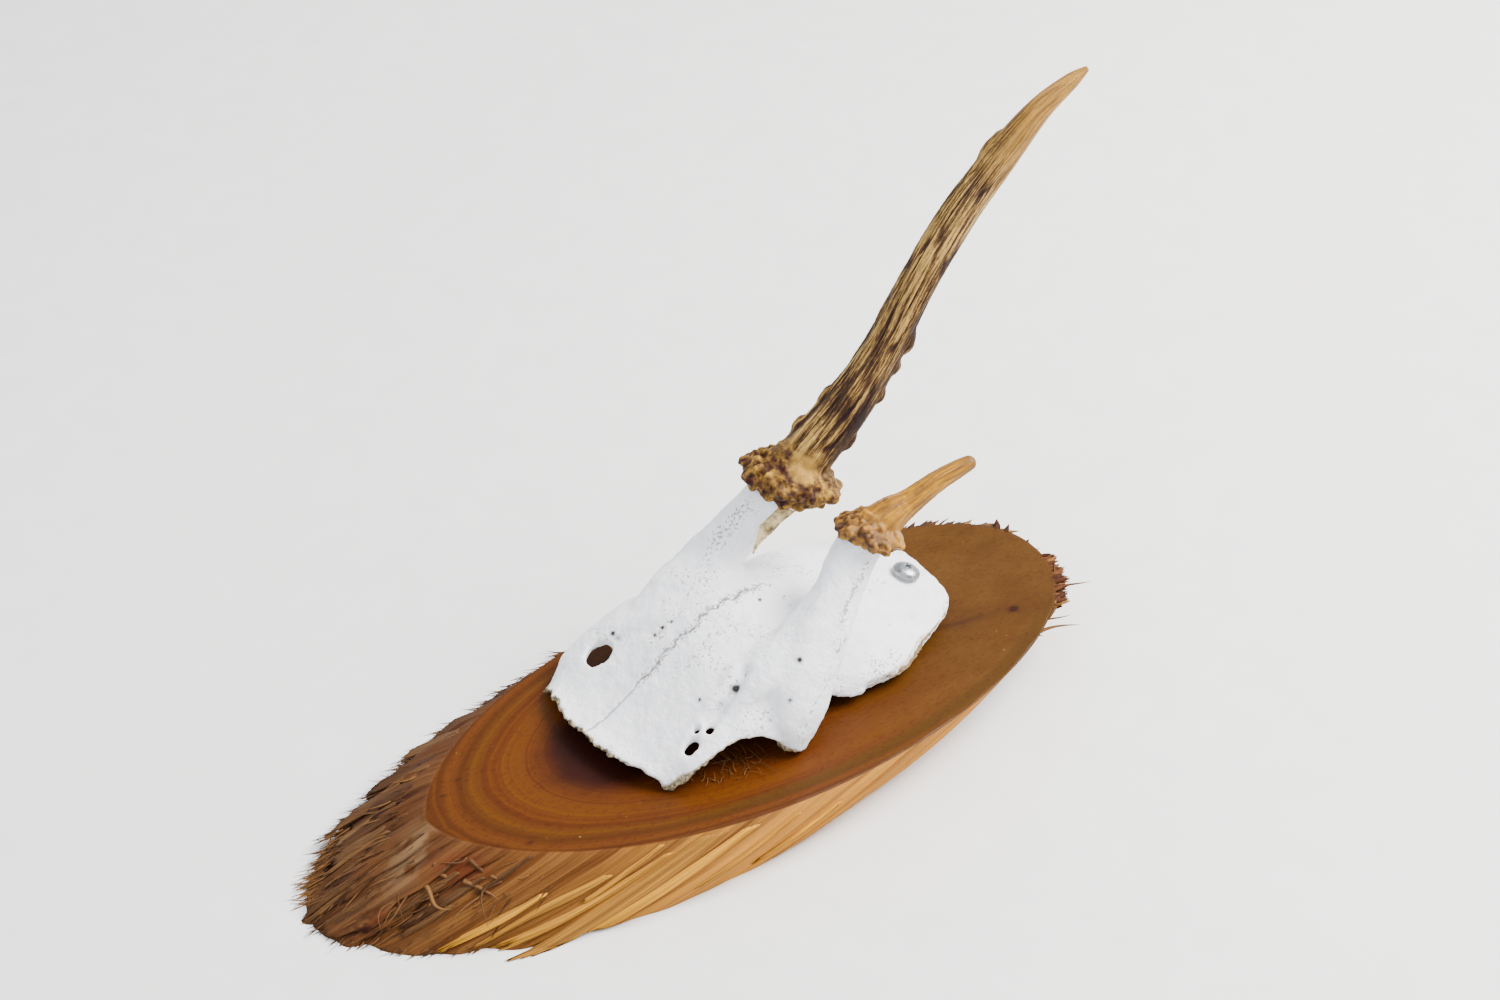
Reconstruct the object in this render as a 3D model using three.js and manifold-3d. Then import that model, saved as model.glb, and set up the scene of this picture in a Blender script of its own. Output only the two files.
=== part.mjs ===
// A roe deer trophy: a painted skull cap with one long and one short antler, screwed to a slice sawn
// slantwise from a branch. Millimetres, +Z up. The origin is the centre of the slice's underside; +X runs
// along the slice towards the end that overhangs, and the skull faces -X.
import * as THREE from "three";
import { mergeVertices } from "three/addons/utils/BufferGeometryUtils.js";
import Module from "manifold-3d";

// ---- Driving dimensions ----

// The slice: a branch cut by two parallel saw cuts that slant across its axis.
const SLAB_LENGTH = 197.5;
const SLAB_WIDTH = 85.5;
const SLAB_THICKNESS = 19;
const SLAB_OVERHANG = 36; // how far the top face is shifted along +X over the underside
const SLAB_BOW = { middle: 2.5, ends: 3.1, skew: 1.2 }; // sideways offset of the outline's centre line
const SLAB_POINTEDNESS = 0.185; // how much sharper than an ellipse the low end is, and blunter the other
const BARK_RELIEF = 1.2; // height of the ridges along the bark
const BARK_SWELL = 3; // how far the tangled bast stands out at the back of the low end
const SPLINTERS = 15;

// The skull cap, in its own frame: x from the front edge to the back, y to the animal's right, z up from
// the slab.
const SKULL_FRONT = [-17.5, 5, SLAB_THICKNESS]; // where the middle of the front edge stands over the slab
const SKULL_YAW = 5; // degrees
const BONE = 3.6; // bone thickness
const SEAT_GAP = 0.3; // clearance between pieces that touch
const CAP_LENGTH = 115;
const FRONT_SWEEP = 6; // how far the front edge's corners lie behind its middle
const FRONT_SKEW = 2.6; // how far the front edge is turned: its right corner forward, its left corner back
const REAR_ROUNDING = 19; // how far the rear edge's corners lie ahead of its middle
const EDGE_JAGS = 0.6; // depth of the saw's nicks in the front edge

// Stations along x: the height of the midline, the half width, and the height of the side edges, which
// arch over the eyes and come down to the slab at the front corners and behind the eyes.
const MIDLINE = [
  [0, 7], [8, 9], [18, 14.6], [32, 24], [45, 29], [57, 28.2], [76, 20.8], [96, 12.8], [115, 6.6],
];
const HALF_WIDTH = [
  [0, 22.5], [6, 24.6], [14, 28.8], [28, 29.7], [43, 34.6], [47, 34], [51, 28.5], [56, 26.5], [74, 31],
  [86, 31.2], [97, 27], [115, 26],
];
const EDGE_HEIGHT = [
  [0, 3], [8, 0.3], [14, 5.5], [24, 10], [34, 9.5], [43, 2.6], [46.5, 0.3], [50, 3.5], [57, 7.5], [65, 3.5],
  [75, 2.4], [115, 2],
];
const CREST = { height: 1.1, width: 3.5 }; // the ridge where the two frontal bones meet
const BROW_SWELL = { x: 53, y: 19.5, length: 12, width: 8, height: 3.6 }; // the rise at each pedicle's foot

// The pedicles are the bone stumps that carry the antlers, drawn from the tip of the process behind the eye
// up to the burr: [x, y, z, radius along the skull, radius across]. The tall antler is on the animal's right.
const TALL_PEDICLE = [
  [45.5, 31, 1, 4, 3.4], [50, 27, 11, 9, 5.5], [57, 22.5, 22, 9, 6.6], [64, 18.6, 32, 7.2, 6.4],
  [71.6, 15.4, 40.6, 7.2, 6.8], [77.4, 12.8, 48, 7.2, 7.2],
];
const SHORT_PEDICLE = [
  [44.5, -32.5, 1, 4, 3.4], [49, -29.5, 12, 9.5, 5.5], [58.5, -24.5, 24, 9, 6.4], [68, -20, 32.5, 6.8, 6.4],
  [76.4, -16.2, 40, 6.4, 6.4], [83.4, -13.4, 47, 6.4, 6.4],
];

// Openings through the bone above the eyes: [x, y, half length, half width].
const FORAMINA = [
  [16.7, 17.8, 3.6, 2.1], [18.4, -23.6, 2.3, 1.5], [24, -23.8, 1.4, 1.1],
];

// The antlers: [x, y, z, radius] along each beam, starting in the middle of the burr's underside.
const TALL_BEAM = [
  [77, 15.2, 43.4, 8.6], [86, 14.2, 53, 7.2], [96, 13, 63, 6.5], [108, 13, 76.5, 5.6], [121, 14.4, 93, 5.4],
  [135.4, 15.7, 108.4, 5], [149, 15.6, 121, 4.5], [159, 13, 133, 3.1], [171.4, 9.2, 142.6, 0.7],
];
const SHORT_BEAM = [
  [79.6, -15.2, 43.6, 6.4], [88, -17, 49.4, 4.8], [93, -18.3, 52, 3.1], [100.6, -20.2, 56.6, 2.3],
  [107, -21.8, 59.2, 2], [111.4, -23, 60.7, 0.6],
];
const FURROW_DEPTH = 0.075; // as a share of the beam's radius

// Each burr: its radius, how high it stands, and its pearls, knobs of horn fused into its rim.
const TALL_BURR = { radius: 12.8, height: 6, pearls: 18, pearlSize: 2.5 };
const SHORT_BURR = { radius: 9, height: 4.4, pearls: 14, pearlSize: 1.6 };

// Lumps on the tall beam: [distance from the burr's underside, side, length, thickness]. Side is 1 towards
// the animal's left and back, where the beam is roughest, and -1 away from it.
const BEAM_LUMPS = [
  [16, -1, 3, 1.9], [21, 1, 3.4, 2], [27, -1, 3.4, 1.6], [35, 1, 2.6, 1.8], [44, 1, 2.4, 1.9],
  [51, 1, 4, 2.6], [109, -1, 9, 2.4],
];
const LUMP_SIDE = [0.53, -0.77, -0.36];

// The screw behind the skull's crown. Its tilt is in degrees, towards the back.
const SCREW = { x: 106.4, y: -4.6, tilt: 20, headRadius: 4.1, headHeight: 2.5, shankRadius: 2, length: 20 };
const RECESS = { reach: 1.9, width: 0.42, depth: 1.4 }; // half length and half width of the cross's arms

// ---- Solids ----

const wasm = await Module();
wasm.setup();

const { degToRad, lerp, smoothstep, clamp } = THREE.MathUtils;

// A closed three.js geometry as a solid that can be joined and cut.
function solid(geometry, matrix = new THREE.Matrix4()) {
  const bare = geometry.clone().applyMatrix4(matrix);
  bare.deleteAttribute("normal");
  bare.deleteAttribute("uv");
  const merged = mergeVertices(bare);
  return new wasm.Manifold(
    new wasm.Mesh({
      numProp: 3,
      vertProperties: merged.attributes.position.array,
      triVerts: new Uint32Array(merged.index.array),
    }),
  );
}

function geometryOf(joined) {
  const mesh = joined.getMesh();
  const geometry = new THREE.BufferGeometry();
  geometry.setAttribute("position", new THREE.BufferAttribute(mesh.vertProperties, 3));
  geometry.setIndex(new THREE.BufferAttribute(mesh.triVerts, 1));
  const faceted = geometry.toNonIndexed();
  faceted.computeVertexNormals();
  return faceted;
}

function indexed(points, faces) {
  const geometry = new THREE.BufferGeometry().setFromPoints(points);
  geometry.setIndex(faces);
  return geometry;
}

// A body skinned over closed rings of points, all with the same count, with a fan over each end.
function loft(rings) {
  const count = rings[0].length;
  const points = rings.flat();
  const faces = [];
  for (let i = 0; i + 1 < rings.length; i++) {
    for (let j = 0; j < count; j++) {
      const a = i * count + j;
      const b = i * count + ((j + 1) % count);
      faces.push(a, b, a + count, b, b + count, a + count);
    }
  }
  const last = (rings.length - 1) * count;
  const centre = (ring) => ring.reduce((sum, p) => sum.add(p), new THREE.Vector3()).divideScalar(count);
  points.push(centre(rings[0]), centre(rings.at(-1)));
  for (let j = 0; j < count; j++) {
    const next = (j + 1) % count;
    faces.push(points.length - 2, next, j);
    faces.push(points.length - 1, last + j, last + next);
  }
  return indexed(points, faces);
}

// A shell between two patches of points, [row][column], with its four edges closed.
function shell(outer, inner) {
  const rows = outer.length;
  const columns = outer[0].length;
  const points = [...outer.flat(), ...inner.flat()];
  const under = rows * columns;
  const faces = [];
  const at = (i, j) => i * columns + j;
  for (let i = 0; i + 1 < rows; i++) {
    for (let j = 0; j + 1 < columns; j++) {
      const [a, b, c, d] = [at(i, j), at(i + 1, j), at(i + 1, j + 1), at(i, j + 1)];
      faces.push(a, b, c, a, c, d);
      faces.push(under + a, under + c, under + b, under + a, under + d, under + c);
    }
  }
  const wall = (a, b) => faces.push(a, under + b, b, a, under + a, under + b);
  for (let i = 0; i + 1 < rows; i++) {
    wall(at(i, 0), at(i + 1, 0));
    wall(at(i + 1, columns - 1), at(i, columns - 1));
  }
  for (let j = 0; j + 1 < columns; j++) {
    wall(at(0, j + 1), at(0, j));
    wall(at(rows - 1, j), at(rows - 1, j + 1));
  }
  return indexed(points, faces);
}

// A smooth function through [x, value] stations: a cubic Hermite curve whose slope at each station is that of
// the chord between its neighbours.
function through(stations) {
  const slope = stations.map((_, i) => {
    const before = stations[Math.max(i - 1, 0)];
    const after = stations[Math.min(i + 1, stations.length - 1)];
    return (after[1] - before[1]) / (after[0] - before[0]);
  });
  return (x) => {
    let i = stations.length - 2;
    while (i > 0 && stations[i][0] > x) i--;
    const [[x0, v0], [x1, v1]] = [stations[i], stations[i + 1]];
    const span = x1 - x0;
    const t = clamp((x - x0) / span, 0, 1);
    const ease = t * t * (3 - 2 * t);
    return v0 * (1 - ease) + v1 * ease + span * t * (1 - t) * (slope[i] * (1 - t) - slope[i + 1] * t);
  };
}

// A curve through points that start with x, y and z.
function curveThrough(stations) {
  return new THREE.CatmullRomCurve3(stations.map(([x, y, z]) => new THREE.Vector3(x, y, z)));
}

// The placement that puts an origin at a point and turns +z to a direction.
function facing(origin, direction) {
  const turn = new THREE.Quaternion();
  turn.setFromUnitVectors(new THREE.Vector3(0, 0, 1), direction.clone().normalize());
  return new THREE.Matrix4().compose(origin, turn, new THREE.Vector3(1, 1, 1));
}

// ---- Wooden slice ----

// The saw-cut outline at angle t, seen from above: a bowed ellipse, more pointed at its low end.
function slabOutline(t) {
  const along = Math.cos(t);
  const across = Math.sin(t);
  const bow = SLAB_BOW.middle + (SLAB_BOW.ends + SLAB_BOW.skew * along) * along * along;
  const half = (SLAB_WIDTH / 2) * Math.sign(across) * Math.abs(across) ** (1.07 - SLAB_POINTEDNESS * along);
  return [(SLAB_LENGTH / 2) * along, bow + half];
}

// Ridges of bark and torn wood that run along the branch, strongest at the low end where the bark is left on.
function barkRidges(t) {
  const bark = 0.25 + 0.75 * smoothstep(-Math.cos(t), 0.1, 0.8);
  const swell = BARK_SWELL * Math.exp(-(((t - 2.65) / 0.36) ** 2));
  const waves = 0.5 * Math.sin(17 * t) + 0.35 * Math.sin(29 * t + 1) + 0.25 * Math.sin(43 * t + 2);
  return BARK_RELIEF * bark * waves + swell;
}

// A point of the wall at angle t and level (0 underside, 1 top), set outwards by lift. The torn wood stands
// proud of a clean top edge, and the underside's edge is worn back.
function wallPoint(t, level, lift = 0) {
  const [x, y] = slabOutline(t);
  const [x2, y2] = slabOutline(t + 0.01);
  const outward = new THREE.Vector2(y2 - y, x - x2).normalize();
  const belly = 0.9 * Math.sin(Math.PI * level);
  const wear = 1.2 * (1 - level) ** 3;
  const proud = lift + belly - wear + barkRidges(t) * (1 - level ** 6);
  return new THREE.Vector3(
    x + SLAB_OVERHANG * level + outward.x * proud,
    y + outward.y * proud,
    SLAB_THICKNESS * level,
  );
}

// A sliver of torn wood: a flat four-sided spike that lies along the branch, with its root sunk in the wall
// and its tip a little off it.
function splinter(t, level, length, width) {
  const root = wallPoint(t, level, -0.4);
  const [x, y] = slabOutline(t);
  const outward = new THREE.Vector3(x * SLAB_WIDTH, y * SLAB_LENGTH, 0).normalize();
  const along = new THREE.Vector3(-SLAB_OVERHANG, 0, -SLAB_THICKNESS).normalize();
  along.addScaledVector(outward, 0.09);
  const sideways = new THREE.Vector3().crossVectors(along, outward).normalize();
  const spike = new THREE.ConeGeometry(1, 1, 4).translate(0, 0.5, 0);
  const frame = new THREE.Matrix4().makeBasis(
    sideways.multiplyScalar(width / 2),
    along.multiplyScalar(length),
    outward.multiplyScalar(width / 3.2),
  );
  return solid(spike, frame.setPosition(root));
}

function woodenSlice() {
  const around = 116;
  const levels = [0, 0.14, 0.45, 0.8, 1];
  const rings = levels.map((level) =>
    Array.from({ length: around }, (_, j) => wallPoint((2 * Math.PI * j) / around, level)),
  );
  let body = solid(loft(rings));
  for (let i = 0; i < SPLINTERS; i++) {
    // Steps of uneven fractions scatter the splinters from the right side, round the low end, to the left.
    const t = lerp(2.1, 5.2, (i * 0.618) % 1);
    const level = lerp(0.4, 0.85, (i * 0.37) % 1);
    const length = lerp(12, 20, (i * 0.71) % 1);
    const width = lerp(3, 5.4, (i * 0.53) % 1);
    body = body.add(splinter(t, level, length, width));
  }
  const above = new THREE.BoxGeometry(2 * SLAB_LENGTH, 2 * SLAB_LENGTH, SLAB_THICKNESS);
  return body.intersect(solid(above.translate(0, 0, SLAB_THICKNESS / 2)));
}

// ---- Skull cap ----

const midline = through(MIDLINE);
const halfWidth = through(HALF_WIDTH);
const edgeHeight = through(EDGE_HEIGHT);

// A point of the cap at u (0 front, 1 back) and v (-1 to 1 across), sunk below the outer surface by depth.
// Each section is an arch that stands on its side edges: flat at the front of the forehead, rounder towards
// the brain case, with a low crest along the midline and a swell on each side where the pedicles stand.
function capPoint(u, v, depth) {
  const jags = EDGE_JAGS * (Math.sin(13 * v) + Math.sin(31 * v)) * v * v;
  const front = FRONT_SWEEP * Math.abs(v) ** 2.2 + jags;
  const back = CAP_LENGTH - REAR_ROUNDING * v ** 4;
  const x = lerp(front, back, u);
  const edge = edgeHeight(x);
  const y = v * (halfWidth(x) - depth);
  const dome = smoothstep(x, 12, 42);
  const alongBrow = (x - BROW_SWELL.x) / BROW_SWELL.length;
  const acrossBrow = (Math.abs(y) - BROW_SWELL.y) / BROW_SWELL.width;
  const brow = BROW_SWELL.height * Math.exp(-(alongBrow ** 2) - acrossBrow ** 2);
  const crest = CREST.height * (Math.exp(-((y / CREST.width) ** 2)) - 1) * (1 - smoothstep(x, 50, 80));
  const crown = Math.max(midline(x) + crest + brow - depth, edge);
  const rise = (1 - Math.abs(v) ** lerp(3.6, 1.8, dome)) ** lerp(0.46, 0.66, dome);
  return new THREE.Vector3(x - FRONT_SKEW * v * (1 - u) ** 2, y, edge + (crown - edge) * rise);
}

function capShell() {
  const rows = 28;
  const columns = 20;
  const patch = (depth) =>
    Array.from({ length: rows + 1 }, (_, i) =>
      Array.from({ length: columns + 1 }, (_, j) => {
        // Columns crowd towards the side edges, where the arch turns down.
        const v = Math.sin((Math.PI / 2) * ((2 * j) / columns - 1));
        return capPoint(i / rows, v, depth);
      }),
    );
  return solid(shell(patch(0), patch(BONE)));
}

// A stump that leans back from the brow: spread along the skull at its foot and round at its top, which is
// cut square to the beam it carries.
function pedicle(stations, beam) {
  const curve = curveThrough(stations);
  const last = stations.length - 1;
  const long = through(stations.map((p, i) => [i / last, p[3]]));
  const wide = through(stations.map((p, i) => [i / last, p[4]]));
  const steps = 10;
  const around = 14;
  const rings = Array.from({ length: steps + 1 }, (_, i) => {
    const t = i / steps;
    const tangent = curve.getTangent(t);
    const sideways = new THREE.Vector3(0, 1, 0).addScaledVector(tangent, -tangent.y).normalize();
    const along = new THREE.Vector3().crossVectors(sideways, tangent);
    return Array.from({ length: around }, (_, j) => {
      const angle = (2 * Math.PI * j) / around;
      return curve
        .getPoint(t)
        .addScaledVector(along, long(t) * Math.cos(angle))
        .addScaledVector(sideways, wide(t) * Math.sin(angle));
    });
  });
  const start = curveThrough(beam);
  const up = start.getTangent(0);
  const seat = facing(start.getPoint(0).addScaledVector(up, -SEAT_GAP), up);
  const beyond = new THREE.BoxGeometry(30, 30, 12).translate(0, 0, 6);
  return solid(loft(rings)).subtract(solid(beyond, seat));
}

function skullCap() {
  let bone = capShell();
  bone = bone.add(pedicle(TALL_PEDICLE, TALL_BEAM));
  bone = bone.add(pedicle(SHORT_PEDICLE, SHORT_BEAM));
  for (const [x, y, long, wide] of FORAMINA) {
    const hole = new THREE.CylinderGeometry(1, 1, 40, 12).rotateX(Math.PI / 2).scale(long, wide, 1);
    bone = bone.subtract(solid(hole, new THREE.Matrix4().setPosition(x, y, 20)));
  }
  // Nothing of the bone reaches into the slab.
  const above = new THREE.BoxGeometry(300, 200, 100).translate(CAP_LENGTH / 2, 0, 50 + SEAT_GAP);
  return bone.intersect(solid(above));
}

// ---- Antlers ----

// An angular knob fused into a surface, longer along one direction.
function knob(centre, along, length, thickness) {
  const shape = new THREE.IcosahedronGeometry(1, 0).scale(thickness, thickness, length);
  return solid(shape, facing(centre, along));
}

// One antler: its beam is a swept section with long furrows that fade towards the tip. It swells into the
// burr, whose rim is set with pearls that lean down over the pedicle.
function antler(beam, burr, lumps, { steps, around, furrows }) {
  const curve = curveThrough(beam);
  const length = curve.getLength();
  const radius = through(beam.map((b, i) => [i / (beam.length - 1), b[3]]));
  const frames = curve.computeFrenetFrames(steps);
  const rings = Array.from({ length: steps + 1 }, (_, i) => {
    const t = curve.getUtoTmapping(i / steps);
    const s = (i / steps) * length;
    const fromRim = (s / burr.height - 0.4) / 0.55;
    const flare = (burr.radius - radius(t)) * Math.exp(-(fromRim ** 2));
    return Array.from({ length: around }, (_, j) => {
      const angle = (2 * Math.PI * j) / around;
      const furrow = 1 + FURROW_DEPTH * (1 - i / steps) * Math.cos(furrows * angle + s / 30);
      const reach = radius(t) * furrow + flare;
      return curve
        .getPoint(t)
        .addScaledVector(frames.normals[i], reach * Math.cos(angle))
        .addScaledVector(frames.binormals[i], reach * Math.sin(angle));
    });
  });
  let body = solid(loft(rings));
  const foot = curve.getPoint(0);
  const centre = curve.getPointAt((0.35 * burr.height) / length);
  const up = frames.tangents[0];
  for (let i = 0; i < burr.pearls; i++) {
    const angle = (2 * Math.PI * i) / burr.pearls + 0.35 * Math.sin(7 * i);
    const out = frames.normals[0].clone().multiplyScalar(Math.cos(angle));
    out.addScaledVector(frames.binormals[0], Math.sin(angle));
    const size = burr.pearlSize * (1 + 0.3 * Math.sin(5 * i));
    const place = centre.clone().addScaledVector(out, burr.radius - 0.4 * size);
    place.addScaledVector(up, 0.8 * Math.sin(3 * i));
    body = body.add(knob(place, out.addScaledVector(up, -0.4), size * 1.3, size));
  }
  const below = new THREE.CylinderGeometry(0.82 * burr.radius, 0.82 * burr.radius, 8, 20);
  below.rotateX(Math.PI / 2).translate(0, 0, -4);
  body = body.subtract(solid(below, facing(foot, up)));
  for (const [s, side, long, thick] of lumps) {
    const tangent = curve.getTangentAt(s / length);
    const out = new THREE.Vector3(...LUMP_SIDE).multiplyScalar(side);
    out.addScaledVector(tangent, -out.dot(tangent)).normalize();
    const depth = radius(curve.getUtoTmapping(s / length)) - 0.35 * thick;
    body = body.add(knob(curve.getPointAt(s / length).addScaledVector(out, depth), tangent, long, thick));
  }
  return body;
}

// ---- Screw ----

// A pan head with a cross recess over a plain pointed shank; z = 0 is the underside of the head.
function screw() {
  const { headRadius, headHeight, shankRadius, length } = SCREW;
  const dome = Array.from({ length: 6 }, (_, i) => {
    const angle = ((Math.PI / 2) * i) / 5;
    return new THREE.Vector2(headRadius * Math.cos(angle), headHeight * (0.3 + 0.7 * Math.sin(angle)));
  });
  dome[dome.length - 1].x = 0;
  const profile = [
    new THREE.Vector2(0, -length),
    new THREE.Vector2(shankRadius, 4 - length),
    new THREE.Vector2(shankRadius, 0),
    new THREE.Vector2(headRadius, 0),
    ...dome,
  ];
  const turned = new THREE.LatheGeometry(profile, 20).rotateX(Math.PI / 2);
  const body = solid(turned);
  const slot = new THREE.BoxGeometry(2 * RECESS.reach, 2 * RECESS.width, 2 * RECESS.depth);
  slot.translate(0, 0, headHeight);
  return body.subtract(solid(slot)).subtract(solid(slot.clone().rotateZ(Math.PI / 2)));
}

// The clearance hole that the screw's shank takes through bone and wood.
function screwHole() {
  const radius = SCREW.shankRadius + 0.4;
  const bottom = -SCREW.length - 1;
  const top = 10;
  const hole = new THREE.CylinderGeometry(radius, radius, top - bottom, 16).rotateX(Math.PI / 2);
  return hole.translate(0, 0, (top + bottom) / 2);
}

// ---- Assembly ----

function piece(name, body, color, roughness, metalness = 0) {
  const material = new THREE.MeshStandardMaterial({ color, roughness, metalness });
  const mesh = new THREE.Mesh(geometryOf(body), material);
  mesh.name = name;
  return mesh;
}

const skull = new THREE.Group();
skull.position.set(...SKULL_FRONT);
skull.rotation.z = degToRad(SKULL_YAW);
skull.updateMatrix();

// The head's underside stands on the high side of the sloping bone.
const screwPlace = new THREE.Object3D();
const screwSeat = capPoint(SCREW.x / CAP_LENGTH, SCREW.y / halfWidth(SCREW.x), 0);
screwPlace.position.set(SCREW.x, SCREW.y, screwSeat.z + 0.9);
screwPlace.rotation.y = degToRad(SCREW.tilt);
screwPlace.updateMatrix();

const holeInSkull = solid(screwHole(), screwPlace.matrix);
const holeInSlab = solid(screwHole(), skull.matrix.clone().multiply(screwPlace.matrix));

const tall = antler(TALL_BEAM, TALL_BURR, BEAM_LUMPS, { steps: 34, around: 16, furrows: 5 });
const short = antler(SHORT_BEAM, SHORT_BURR, [], { steps: 16, around: 14, furrows: 4 });
skull.add(
  piece("skull_cap", skullCap().subtract(holeInSkull), 0xeeeef0, 0.6),
  piece("antler_tall", tall, 0x7a5a38, 0.6),
  piece("antler_short", short, 0xa97c48, 0.6),
);
const fixing = piece("screw", screw(), 0xa9aeb2, 0.3, 1);
fixing.applyMatrix4(screwPlace.matrix);
skull.add(fixing);

const trophy = new THREE.Group();
trophy.add(piece("wood_slab", woodenSlice().subtract(holeInSlab), 0x9a5a26, 0.4), skull);

export default trophy;
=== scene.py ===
import bpy
import numpy as np
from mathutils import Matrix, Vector


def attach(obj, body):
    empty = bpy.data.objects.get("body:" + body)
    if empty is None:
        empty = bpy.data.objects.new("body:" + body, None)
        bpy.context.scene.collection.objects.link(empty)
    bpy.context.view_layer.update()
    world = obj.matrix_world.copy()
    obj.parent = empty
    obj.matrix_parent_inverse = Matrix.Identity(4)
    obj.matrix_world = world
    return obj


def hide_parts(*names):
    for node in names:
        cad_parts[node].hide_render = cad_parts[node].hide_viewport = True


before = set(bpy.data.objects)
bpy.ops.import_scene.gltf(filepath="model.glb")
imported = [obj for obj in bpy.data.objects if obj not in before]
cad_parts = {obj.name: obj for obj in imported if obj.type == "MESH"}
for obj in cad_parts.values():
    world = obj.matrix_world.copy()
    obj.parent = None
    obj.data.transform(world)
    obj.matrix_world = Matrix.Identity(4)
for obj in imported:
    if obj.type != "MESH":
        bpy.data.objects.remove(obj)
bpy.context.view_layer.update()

# ---- Camera ----
# Stands over the slice's low end, on the short antler's side, and looks down along the forehead.
lens = bpy.data.cameras.new("camera")
lens.lens = 48
lens.sensor_width = 36
camera = bpy.data.objects.new("camera", lens)
camera.location = (-0.16997, -0.32783, 0.411)
camera.rotation_euler = Vector((0.4003, 0.6531, -0.6428)).to_track_quat("-Z", "Y").to_euler()
bpy.context.scene.collection.objects.link(camera)
bpy.context.scene.camera = camera

# ---- Wooden slice ----
# A branch of about 86 mm sawn twice at 28 degrees to its axis, which gives a long oval board 19 mm thick.
# The sawn top is varnished over its growth rings; the side is bare torn wood, and at the low end bark.
SLICE = {"length": 197.5, "width": 85.5, "thickness": 19.0, "overhang": 36.0}
BRANCH_SLANT = SLICE["overhang"] / SLICE["thickness"]
BRANCH_RADIUS = SLICE["width"] / 2
SPIRAL = 0.15
ROUNDNESS = SLICE["width"] / SLICE["length"]
METRE = 1000


def smooth(x, low, high):
    """0 below low, 1 above high, and an S-shaped ease between them."""
    t = np.clip((x - low) / (high - low), 0, 1)
    return t * t * (3 - 2 * t)


def roughness(points, size, seed):
    """Soft random relief from -1 to 1: random numbers at the corners of a lattice of that size, each
    blended into the next by t * t * (3 - 2 * t)."""
    cell = points / size
    base = np.floor(cell).astype(np.int64)
    ease = cell - base
    ease = ease * ease * (3 - 2 * ease)
    total = np.zeros(points.shape[:-1])
    for corner in np.ndindex(2, 2, 2):
        at = base + corner
        key = at[..., 0] * 73856093 ^ at[..., 1] * 19349663 ^ at[..., 2] * 83492791 ^ seed * 49979687
        key = (key ^ (key >> 13)) * 1274126177 & 0xFFFFFFFF
        key = (key ^ (key >> 15)) * 1911520717 & 0xFFFFFFFF
        value = (key ^ (key >> 16) & 0xFFFF) & 0xFFFF
        weight = np.prod(np.where(corner, ease, 1 - ease), axis=-1)
        total += weight * (value / 32767.5 - 1)
    return total


def rough_sum(points, size, seed, layers=3):
    """Relief in layers, each half as wide and half as high as the one before."""
    return sum(roughness(points, size / 2**k, seed + k) / 2**k for k in range(layers))


def rows_to_faces(rows, columns, closed=True):
    """Four-sided faces between neighbouring rows of a grid of points; closed joins each row's ends."""
    across = np.arange(columns if closed else columns - 1)
    i, j = np.meshgrid(np.arange(rows - 1), across, indexing="ij")
    here, below = i * columns, (i + 1) * columns
    beside = (j + 1) % columns
    faces = np.stack([here + j, here + beside, below + beside, below + j], -1)
    return faces.reshape(-1, 4)


def capped(rows, columns):
    """Faces of a grid closed round each row, with a fan at each end to two extra points after the grid."""
    j = np.arange(columns)
    beside = (j + 1) % columns
    last = (rows - 1) * columns
    first_fan = np.stack([beside, j, np.full(columns, rows * columns)], -1)
    last_fan = np.stack([last + j, last + beside, np.full(columns, rows * columns + 1)], -1)
    return [*rows_to_faces(rows, columns).tolist(), *first_fan.tolist(), *last_fan.tolist()]


def with_poles(grid):
    """A grid's points in one list, followed by the middle of its first row and of its last."""
    return np.concatenate([grid.reshape(-1, 3), grid[:1].mean(1), grid[-1:].mean(1)])


def make(name, points, faces, finish, slot, stands_for=None, **fields):
    """A piece from points in millimetres, with a value or a direction at each point for its finish."""
    mesh = bpy.data.meshes.new(name)
    mesh.from_pydata((points / METRE).tolist(), [], faces if isinstance(faces, list) else faces.tolist())
    mesh.shade_smooth()
    for field, values in fields.items():
        kind, key = ("FLOAT", "value") if values.ndim == 1 else ("FLOAT_VECTOR", "vector")
        layer = mesh.attributes.new(field, kind, "POINT")
        layer.data.foreach_set(key, values.astype(np.float32).ravel())
    mesh.materials.append(finish)
    piece = bpy.data.objects.new(name, mesh)
    bpy.context.scene.collection.objects.link(piece)
    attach(piece, "root")
    if stands_for:
        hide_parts(stands_for)


def oval(t):
    """The sawn outline at angle t: an ellipse, half the length times cos t by half the width times sin t to a
    power that makes it more pointed at its low end, bowed by 2.5 mm and more towards the ends."""
    along, across = np.cos(t), np.sin(t)
    bow = 2.5 + (3.1 + 1.2 * along) * along**2
    half = SLICE["width"] / 2 * np.sign(across) * np.abs(across) ** (1.07 - 0.185 * along)
    return np.stack([SLICE["length"] / 2 * along, bow + half], -1)


def out_of_oval(t):
    """The level direction that points straight out of the outline at angle t."""
    step = oval(t + 0.005) - oval(t - 0.005)
    return np.stack([step[..., 1], -step[..., 0]], -1) / np.linalg.norm(step, axis=-1, keepdims=True)


def branch_space(points):
    """Places in the branch: across its round section in x and y, and slowly along its axis in z."""
    across = ROUNDNESS * (points[..., 0] - BRANCH_SLANT * points[..., 2])
    return np.stack([across, points[..., 1], 0.06 * points[..., 2]], -1)


def bark_at(t):
    """How much bark is left at angle t: all of it round the low end, none round the high end."""
    return smooth(-np.cos(t), 0.1, 0.8)


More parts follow.
